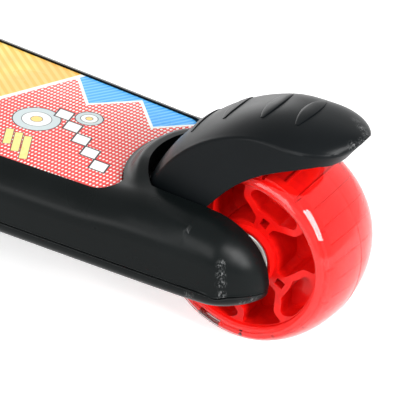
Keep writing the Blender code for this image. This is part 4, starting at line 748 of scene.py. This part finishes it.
build_wheel("rear", REAR_RADIUS, 4, REAR_HUB)
build_spacer("rear_spacer_left", 1, REAR_HUB)
build_spacer("rear_spacer_right", -1, REAR_HUB)
for side, sign in (("left", 1), ("right", -1)):
    centre = TRUCK @ Matrix.Translation((0, sign * FRONT_HALF_TRACK, 0))
    build_wheel(f"front_{side}", FRONT_RADIUS, 5, centre @ HUB_TURN)


# ---- stem, handlebar and other turned pieces ----

STEM = Matrix.Translation((0.180, 0, 0.122)) @ Matrix.Rotation(radians(-12), 4, "Y")
UPPER = STEM @ Matrix.Translation((0, 0, 0.682))  # where the stem's axis meets the bar's
BAR = UPPER @ HUB_TURN
BAR_BORE = 11.3 * MM
TUBE_BORE = 14.3 * MM
GRIP_RINGS = 30
TEE_RIM = 0.7 * MM


def build_grip(side, sign):
    """A rubber grip with a thumb flange, fine rings and a rounded end."""
    start, end, bore, depth = 33 * MM, 149 * MM, BAR_BORE, 145.3 * MM
    profile = stepped((0, end), (0, 0), (10.5, 0), (13.5, -0.4), (15.8, -1.4), (16.9, -3),
                      (16.4, -5), (15.5, -8))
    for k in range(GRIP_RINGS):
        h = end - 10 * MM - (end - start - 22 * MM) * k / GRIP_RINGS
        swell = 0.5 * MM * sin(pi * k / GRIP_RINGS)
        for drop, rise in ((0, 0), (0.5, 0.45), (1.4, 0.55), (2.2, 0.45), (2.7, 0)):
            profile.append((15.3 * MM + swell + rise * MM, h - drop * MM))
    profile += stepped((0, start), (15.5, 9), (16.6, 6), (19.0, 4), (19.4, 3.2), (19.4, 0.7), (19.0, 0))
    profile += [(bore, start), (bore, depth), (0, depth)]
    bm = add_turned(bmesh.new(), [(r, sign * h) for r, h in profile], 72, BAR, closed=False)
    finer(f"grip_{side}_skin", bm, "grip_rubber", f"grip_{side}", 40)


def build_tee():
    """The tee: a socket for the tube and a sleeve for the bar, with a rim at each mouth."""
    def ring(place, radius, low, high):
        rim = radius + TEE_RIM
        half = [(0, low), (rim, low), (rim, low + 2.6 * MM), (radius, low + 3.4 * MM),
                (radius, high - 3.4 * MM), (rim, high - 2.6 * MM), (rim, high), (0, high)]
        return add_turned(bmesh.new(), half, 72, place, closed=False)

    def bore(place, radius, low, high):
        return add_prism(bmesh.new(), [circle(radius, 72)], low, high, place)

    tee = finer("tee_skin", ring(UPPER, 16.9 * MM, -38 * MM, 0), "frame_plastic", "handlebar_tee")
    boolean(tee, ring(BAR, 14.1 * MM, -26 * MM, 26 * MM), "UNION")
    boolean(tee, bore(BAR, BAR_BORE, -27 * MM, 27 * MM))
    boolean(tee, bore(UPPER, TUBE_BORE, -39 * MM, -11 * MM))
    bevelled(tee, 0.4 * MM, 40)
    finished(tee)


for side, sign in (("left", 1), ("right", -1)):
    build_grip(side, sign)
    build_bearing(f"rear_bearing_{side}", REAR_HUB, sign * BEARING_PLACE)
    for wheel, place in (("left", FRONT_HALF_TRACK), ("right", -FRONT_HALF_TRACK)):
        build_bearing(f"front_{wheel}_bearing_{side}", TRUCK @ HUB_TURN, place + sign * BEARING_PLACE)
    returned(f"front_axle_bolt_{side}", TRUCK @ HUB_TURN)
    returned(f"front_spacer_{side}", TRUCK @ HUB_TURN)
for node_name in ("lower_tube", "upper_tube", "tube_bush"):
    returned(node_name, STEM)
returned("handlebar", BAR)
for node_name in ("upper_bushing", "lower_bushing"):
    returned(node_name, TRUCK, bevel=0.8 * MM)
build_tee()


# ---- foot brake ----

FENDER_HALF_WIDTH = 22.6 * MM
FENDER_START, FENDER_END = 12, 122  # turns about the axle, from straight ahead
FENDER_WALL = 1.8 * MM
SKIRT_WALL = 0.85 * MM
TAIL_START = 101


def fender_radius(angle):
    """The crown's middle line: a part circle that opens towards the tail."""
    return 49.2 * MM + 15.1 * MM * (max(angle - 25, 0) / 97) ** 1.84


def fender_width(angle):
    return FENDER_HALF_WIDTH * round_off((angle - TAIL_START) / (FENDER_END + 0.3 - TAIL_START), 2.48)


def crown_radius(angle, y):
    width = fender_width(angle)
    swell = 1 + 0.3 * smooth_step(angle, 85, 104)
    drop = 5.4 * MM * swell * sqrt(width / FENDER_HALF_WIDTH)
    return fender_radius(angle) - drop * (abs(y) / width) ** 2.3


def fender_skirt(angle):
    """Radius of the skirt's lower edge, which is level at the front and a thin rim at the tail."""
    depth = 27.2 * MM - 17.3 * MM * (max(angle - 50, 0) / 70) ** 2
    lowest = 9.5 * MM / sin(radians(angle))
    ridge = crown_radius(angle, fender_width(angle))
    rim = 2.3 * MM + 3.4 * MM * smooth_step(angle, 108, 121)
    return min(max(fender_radius(angle) - depth, lowest), ridge - rim)


def around_axle(angle, radius, y):
    a = radians(angle)
    return Vector((REAR_AXLE.x + radius * cos(a), y, REAR_AXLE.z + radius * sin(a)))


def fender_ring(angle):
    """One section of the brake: crown, a crisp bead along the ridge, and the flared skirts."""
    width = fender_width(angle)
    ridge = crown_radius(angle, width)
    bottom = fender_skirt(angle)
    bead = min(0.8 * MM, width * 0.1)
    outer = [(width * s, crown_radius(angle, width * s)) for s in spread(0, 1, 19)]
    outer[-1] = (width - bead, crown_radius(angle, width - bead) + 0.04 * MM)
    outer += [(width - 0.3 * bead, ridge + 0.02 * MM), (width, ridge - 0.7 * bead)]
    skirt = []
    for share in (0.08, 0.2, 0.35, 0.5, 0.65, 0.8, 0.93, 1):
        r = ridge - (ridge - bottom) * share
        skirt.append((width + 0.135 * (ridge - r), r))
    outer += skirt[:-1]
    y_low, r_low = skirt[-1]
    outer += [(y_low - 0.02 * MM, r_low + 0.3 * MM), (y_low - 0.3 * MM, r_low)]
    inner = [(max(y - SKIRT_WALL, 0.2 * MM), min(r, ridge - FENDER_WALL)) for y, r in reversed(skirt)]
    inner += [(y * (1 - 1.2 * MM / width), crown_radius(angle, y) - FENDER_WALL)
              for y in (width * s for s in spread(1, 0, 10))]
    half = [around_axle(angle, r, y) for y, r in outer + inner]
    other = [Vector((p.x, -p.y, p.z)) for p in reversed(half[1:-1])]
    return half + other


def rib_rings(angle, half_length):
    """Sections along one crescent rib: a steep front edge, a low flat back."""
    rings = []
    for i in range(33):
        y = half_length * (i / 16 - 1)
        bow = 1 - (y / half_length) ** 2
        width = 1.3 + 3.8 * bow
        lift = 0.28 + 0.32 * bow
        section = []
        for share, height in ((0, -0.7), (0.0, 0.3 * lift), (0.03, 0.85 * lift), (0.08, lift),
                              (0.4, 1.02 * lift), (0.8, 0.95 * lift), (0.92, 0.72 * lift), (0.98, 0.3 * lift),
                              (1.0, 0.0), (1.02, -0.7)):
            a = angle + 1.7 * bow - (width + 0.6 * bow) * share
            section.append(around_axle(a, crown_radius(a, y) + height * MM, y))
        rings.append(section)
    return rings


def build_fender():
    angles = spread(FENDER_START, 100, 90) + spread(100.6, 118, 50) + spread(118.3, FENDER_END, 26)
    bm = add_loft(bmesh.new(), [fender_ring(a) for a in angles])
    for angle, half_length in ((52, 11.5), (69.5, 11), (87.5, 12), (101.5, 12)):
        add_loft(bm, rib_rings(angle, half_length * MM))
    brake = finer("brake_skin", bm, "black_plastic", "rear_brake_fender", 42)
    brake.data.materials[0] = BRAKE_BLACK


build_fender()

# ---- deck ----

# x runs forward from the rear axle in all of the deck's sizes and functions
TAIL_OVERHANG = 15 * MM
DECK_LENGTH = 352 * MM
DECK_TOP = 57.3 * MM
ARM_TOP = 59 * MM
PARTING_HEIGHT = 34.5 * MM
DECK_WALL = 3 * MM
OPENING_CENTRE = 14 * MM
OPENING_RADIUS = 35.2 * MM
HIGH = DECK_TOP + 10 * MM
LOW = PARTING_HEIGHT - 4 * MM
PANEL_FLOOR = DECK_TOP - 3.1 * MM
PIVOT_X, PIVOT_HEIGHT, PIVOT_RADIUS = 45 * MM, 48 * MM, 2.8 * MM
COLLAR_START, COLLAR_FOOT, COLLAR_CREST = 38.4 * MM, 44.4 * MM, 4.7 * MM
COLLAR_END = 60 * MM
NOTCH_RADIUS, NOTCH_CORNER = 44.3 * MM, 8.1 * MM
PANEL_END, PANEL_MARGIN = 270 * MM, 10.5 * MM


def tail_share(x, start):
    """0 ahead of a start and 1 just behind the end of the arms."""
    return (start - x) / (start + TAIL_OVERHANG + GAP)


def deck_half_width(x):
    width = 44.1 * MM + 0.063 * x - 0.9 * MM * exp(-x / (25 * MM))
    arm = (width - WELL_HALF_WIDTH) * round_off(tail_share(x, 3 * MM), 1.7)
    return (WELL_HALF_WIDTH + arm) * round_off((x - 235 * MM) / (137 * MM), 2.4)


def deck_top(x):
    rise = (ARM_TOP - DECK_TOP) * (1 - smooth_step(x, 36 * MM, 60 * MM))
    return PARTING_HEIGHT + (DECK_TOP + rise - PARTING_HEIGHT) * round_off(tail_share(x, 12 * MM), 2)


def deck_bottom(x):
    return PARTING_HEIGHT - 7.5 * MM * round_off(tail_share(x, 20 * MM), 3)


def parting(x):
    """Height of the shells' joint: level, with a small wave beside the axle."""
    return PARTING_HEIGHT - 1.3 * MM * exp(-((x + 1.5 * MM) / (2.6 * MM)) ** 2)


def upper_half(x, inset, top_inset, floor, steps):
    """Half of the upper shell's section, from its lower edge up to the edge of its flat top."""
    width = deck_half_width(x) - inset
    top = deck_top(x) - top_inset
    across = max(min(16 * MM, deck_half_width(x) - WELL_HALF_WIDTH) - inset, MM)
    down = min(13 * MM - inset, (top - PARTING_HEIGHT) * 0.7)
    points = [(width, floor)]
    if not inset:
        rise = min(MM, (top - floor) * 0.2)
        bead = (0.10 + 0.30 * smooth_step(-x, -10 * MM, -3 * MM)) * rise
        points = [(width - 0.4 * rise, floor), (width - 0.1 * rise, floor + 0.06 * rise),
                  (width + bead, floor + 0.3 * rise), (width + bead, floor + 0.6 * rise),
                  (width + 0.3 * bead, floor + 0.95 * rise), (width, floor + 1.4 * rise)]
    points.append((width, top - down))
    for k in range(1, steps + 1):
        a = radians(90 * k / steps)
        points.append((width - across + across * cos(a), top - down + down * sin(a)))
    return points


def lower_half(x, inset, ceiling, steps):
    """Half of the lower shell's section: the groove's neck, a shoulder, and round to the bottom."""
    width = deck_half_width(x) - 1.2 * MM - inset
    bottom = deck_bottom(x) + inset
    radius = min(5 * MM, (PARTING_HEIGHT - deck_bottom(x)) * 0.8) - min(inset, 2.5 * MM)
    step = min(MM, (ceiling - bottom) * 0.12)
    points = [(width - 0.7 * step, ceiling), (width - 0.7 * step, ceiling - 0.75 * step),
              (width + 0.15 * step, ceiling - 0.85 * step), (width + 0.3 * step, ceiling - 1.0 * step),
              (width + 0.3 * step, ceiling - 1.3 * step), (width, ceiling - 1.7 * step)]
    return points + [(width - radius + radius * cos(radians(a)),
                      bottom + radius - radius * sin(radians(a))) for a in spread(0, 90, steps)]


def across(x, half):
    return [Vector((REAR_AXLE.x + x, y, z)) for y, z in half + [(-y, z) for y, z in reversed(half)]]


def fine_stations():
    """Places of the outer sections, closer together round the arms' ends and the collar."""
    tail = [12 * MM - 27.2 * MM * sin(radians(a)) for a in
            (88, 84, 80, 76, 72, 68, 64, 60, 56, 52, 48, 44, 41, 38, 35, 32, 29.5, 27, 24, 20, 15, 8)]
    rear = spread(13 * MM, COLLAR_END, 48) + [k * MM for k in (70, 90, 120, 160, 200, 230)]
    return tail + rear + spread(235 * MM, DECK_LENGTH, 17)


def hollow_stations():
    rear = [k * MM for k in (-8, -5.4, -2, 4, 12, 36, 44, 52, 60, 113, 180, 234, 271, 303, 331)]
    return rear + [DECK_LENGTH - DECK_WALL]


def well_outline():
    half = WELL_HALF_WIDTH
    edge = degrees(asin(half / OPENING_RADIUS))
    rear = REAR_AXLE.x - 2 * TAIL_OVERHANG
    front = arc(REAR_AXLE.x + OPENING_CENTRE, 0, OPENING_RADIUS, -edge, edge, 40)
    return [(rear, half), (rear, -half)] + front


def panel_outline(inset):
    """Plan of the printed panel: a notch round the collar, sides along the deck, a round front."""
    notch = arc(OPENING_CENTRE, 0, NOTCH_RADIUS + inset, 0, 37, 16)
    x = notch[-1][0] - inset + NOTCH_CORNER
    corner = arc(x, deck_half_width(x) - NOTCH_CORNER - PANEL_MARGIN, NOTCH_CORNER - inset, 175, 92, 16)
    stations = [x + (PANEL_END - x) * k / 12 for k in range(1, 13)]
    sides = [(s, deck_half_width(s) - PANEL_MARGIN - inset) for s in stations]
    front = arc(PANEL_END, sides[-1][1] - 16 * MM + inset, 16 * MM - inset, 65, 0, 8)
    points = [(REAR_AXLE.x + x, y) for x, y in notch + corner + sides + front]
    return points + [(x, -y) for x, y in reversed(points[1:])]


def well_block(margin, low, high):
    """A box round the wheel's well, open at the rear."""
    half = WELL_HALF_WIDTH + margin
    first = Vector((REAR_AXLE.x - 2 * TAIL_OVERHANG, -half, low))
    last = Vector((REAR_AXLE.x + 50 * MM + margin, half, high))
    place = Matrix.Translation((last + first) / 2)
    bm = bmesh.new()
    bmesh.ops.create_cube(bm, size=1, matrix=place @ Matrix.Diagonal((*(last - first), 1)))
    return bm


def slab(outline, low, high):
    return add_prism(bmesh.new(), [outline], low, high, Matrix.Identity(4))


def with_collar(x, y, z):
    """Raises a point of the deck's top to the collar round the front of the well's opening."""
    turn = abs(degrees(atan2(y, x - OPENING_CENTRE)))
    side = 1 - smooth_step(hypot(x - OPENING_CENTRE, y), COLLAR_START, COLLAR_FOOT)
    crest = COLLAR_CREST * (1 - smooth_step(turn, 18, 68))
    reach = 1.4 * MM
    if side <= 0:
        return z
    collar = z - reach + (DECK_TOP + crest - z + reach) * side
    near = max(reach - abs(collar - z), 0) / reach
    return max(collar, z) + near * near * reach / 4


def top_ring(x):
    half = upper_half(x, 0, 0, parting(x) + GAP / 2, 14)
    flat_edge, top = half[-1]
    half += [(y, top) for y in spread(flat_edge, 0.4 * MM, 26)[1:]]
    if OPENING_CENTRE < x < COLLAR_END:
        half = half[:8] + [(y, with_collar(x, y, z)) for y, z in half[8:]]
    return across(x, half)


def build_deck_top():
    rings = [top_ring(x) for x in fine_stations()]
    shell = finer("deck_top_skin", add_loft(bmesh.new(), rings), "black_plastic", "deck_top_shell")
    inside = []
    for x in hollow_stations():
        skin = DECK_WALL + 2.4 * MM * smooth_step(x, 36 * MM, 50 * MM)
        inside.append(across(x, upper_half(x, DECK_WALL, skin, LOW, 3)))
    hollow = linked("hollow", mesh_from("hollow", add_loft(bmesh.new(), inside)))
    boolean(hollow, well_block(DECK_WALL, LOW - MM, HIGH))
    tool = bmesh.new()
    tool.from_mesh(hollow.data)
    bpy.data.objects.remove(hollow)
    boolean(shell, tool)
    boolean(shell, slab(well_outline(), ARM_TOP - 4 * MM, HIGH))
    boolean(shell, well_block(0, PARTING_HEIGHT - 10 * MM, ARM_TOP - 3 * MM))
    boolean(shell, slab(panel_outline(0), PANEL_FLOOR - GAP, HIGH))
    for sign in (1, -1):
        start, end = sorted((sign * 25 * MM, sign * 30 * MM))
        slot = arc(REAR_AXLE.x, REAR_AXLE.z, AXLE_HOLE, 0, 180, 24)
        slot += [(REAR_AXLE.x - AXLE_HOLE, LOW), (REAR_AXLE.x + AXLE_HOLE, LOW)]
        stand = Matrix.Translation((0, end, 0)) @ Matrix.Rotation(radians(90), 4, "X")
        boolean(shell, add_prism(bmesh.new(), [slot], 0, end - start, stand))
    pivot = Matrix.Translation((REAR_AXLE.x + PIVOT_X, -30 * MM, PIVOT_HEIGHT)) @ HUB_TURN
    boolean(shell, add_prism(bmesh.new(), [circle(PIVOT_RADIUS, 32)], 0, 60 * MM, pivot))
    finished(shell)


def build_deck_bottom():
    rings = [across(x, lower_half(x, 0, parting(x) - GAP / 2, 8)) for x in fine_stations()]
    tray = finer("deck_bottom_skin", add_loft(bmesh.new(), rings), "black_plastic", "deck_bottom_shell")
    boolean(tray, well_block(0, 0, DECK_TOP))
    finished(tray)


def build_panel():
    top, edge = DECK_TOP - 1.6 * MM, 0.25 * MM
    rings = [[Vector((x, y, z)) for x, y in panel_outline(inset)]
             for inset, z in ((GAP, top - 1.2 * MM), (GAP, top - edge), (GAP + edge, top))]
    finer("panel_skin", add_loft(bmesh.new(), rings), "panel_print", "deck_panel")


build_deck_top()
build_deck_bottom()
build_panel()

for node_name, slot_name in SLOT_OF.items():
    if node_name not in made:
        dressed(node_name, slot_name)


# ---- stage, light and camera ----

FLOOR_GREY, FLOOR_GLOW = 0.82, 0.6
WORLD_LIGHT, WORLD_SEEN = 0.30, 1.0
# name, place, target, size and watts
SOFTBOXES = (("strip", (-1.26, 0.20, 0.70), (-0.25, 0, 0.05), (0.36, 0.72), 19),
             ("far", (0.56, -0.70, 0.30), (-0.235, 0, 0.09), (0.8, 0.45), 3.2),
             ("near", (-0.30, 1.50, 1.20), (-0.2, 0, 0.05), (1.2, 1.0), 20),
             ("left", (0.55, 1.70, 0.55), (-0.15, 0, 0.05), (0.9, 0.5), 7))
CAMERA_PLACE = Vector((-0.44444, 0.48317, 0.36032))
CAMERA_RIGHT = Vector((-0.863667, -0.493856, 0.100926))
CAMERA_UP = Vector((0.327965, -0.398511, 0.856521))
LENS_MM, SENSOR_MM = 144.866, 36


def rays(tree, other, seen):
    """A value that is one number for camera, glossy and transmission rays and another for the rest."""
    path = tree.nodes.new("ShaderNodeLightPath")
    share = path.outputs["Is Camera Ray"]
    for kind in ("Is Glossy Ray", "Is Transmission Ray"):
        either = tree.nodes.new("ShaderNodeMath")
        either.operation = "MAXIMUM"
        tree.links.new(share, either.inputs[0])
        tree.links.new(path.outputs[kind], either.inputs[1])
        share = either.outputs[0]
    chosen = tree.nodes.new("ShaderNodeMapRange")
    tree.links.new(share, chosen.inputs["Value"])
    chosen.inputs["To Min"].default_value = other
    chosen.inputs["To Max"].default_value = seen
    return chosen.outputs[0]


def build_stage():
    bm = bmesh.new()
    bmesh.ops.create_grid(bm, x_segments=8, y_segments=8, size=6)
    floor = linked("floor", mesh_from("floor", bm))
    floor.location.z = -0.2 * MM
    paper = Look("floor_paper", (FLOOR_GREY, FLOOR_GREY, FLOOR_GREY))
    glow = rays(paper.tree, 0.0, FLOOR_GLOW)
    floor.data.materials.append(paper.done(Roughness=0.9, Specular_IOR_Level=0.1,
                                           Emission_Color=(1, 1, 1, 1), Emission_Strength=glow))
    world = bpy.data.worlds.new("studio")
    bpy.context.scene.world = world
    world.use_nodes = True
    background = world.node_tree.nodes["Background"]
    background.inputs["Color"].default_value = (1, 1, 1, 1)
    strength = rays(world.node_tree, WORLD_LIGHT, WORLD_SEEN)
    world.node_tree.links.new(strength, background.inputs["Strength"])


def softbox(name, place, target, size, power):
    data = bpy.data.lights.new(name, "AREA")
    data.shape = "RECTANGLE"
    data.size, data.size_y = size
    data.energy = power
    lamp = linked(name, data)
    lamp.location = place
    lamp.rotation_mode = "QUATERNION"
    lamp.rotation_quaternion = (Vector(place) - Vector(target)).to_track_quat("Z", "Y")


def build_camera():
    data = bpy.data.cameras.new("camera")
    data.sensor_width = SENSOR_MM
    data.lens = LENS_MM
    data.clip_start, data.clip_end = 0.05, 50
    camera = linked("camera", data)
    back = CAMERA_RIGHT.cross(CAMERA_UP)
    turn = Matrix((CAMERA_RIGHT, CAMERA_UP, back)).transposed().to_4x4()
    camera.matrix_world = Matrix.Translation(CAMERA_PLACE) @ turn
    bpy.context.scene.camera = camera


build_stage()
for lamp_setting in SOFTBOXES:
    softbox(*lamp_setting)
build_camera()
bpy.context.scene.view_settings.view_transform = "Standard"
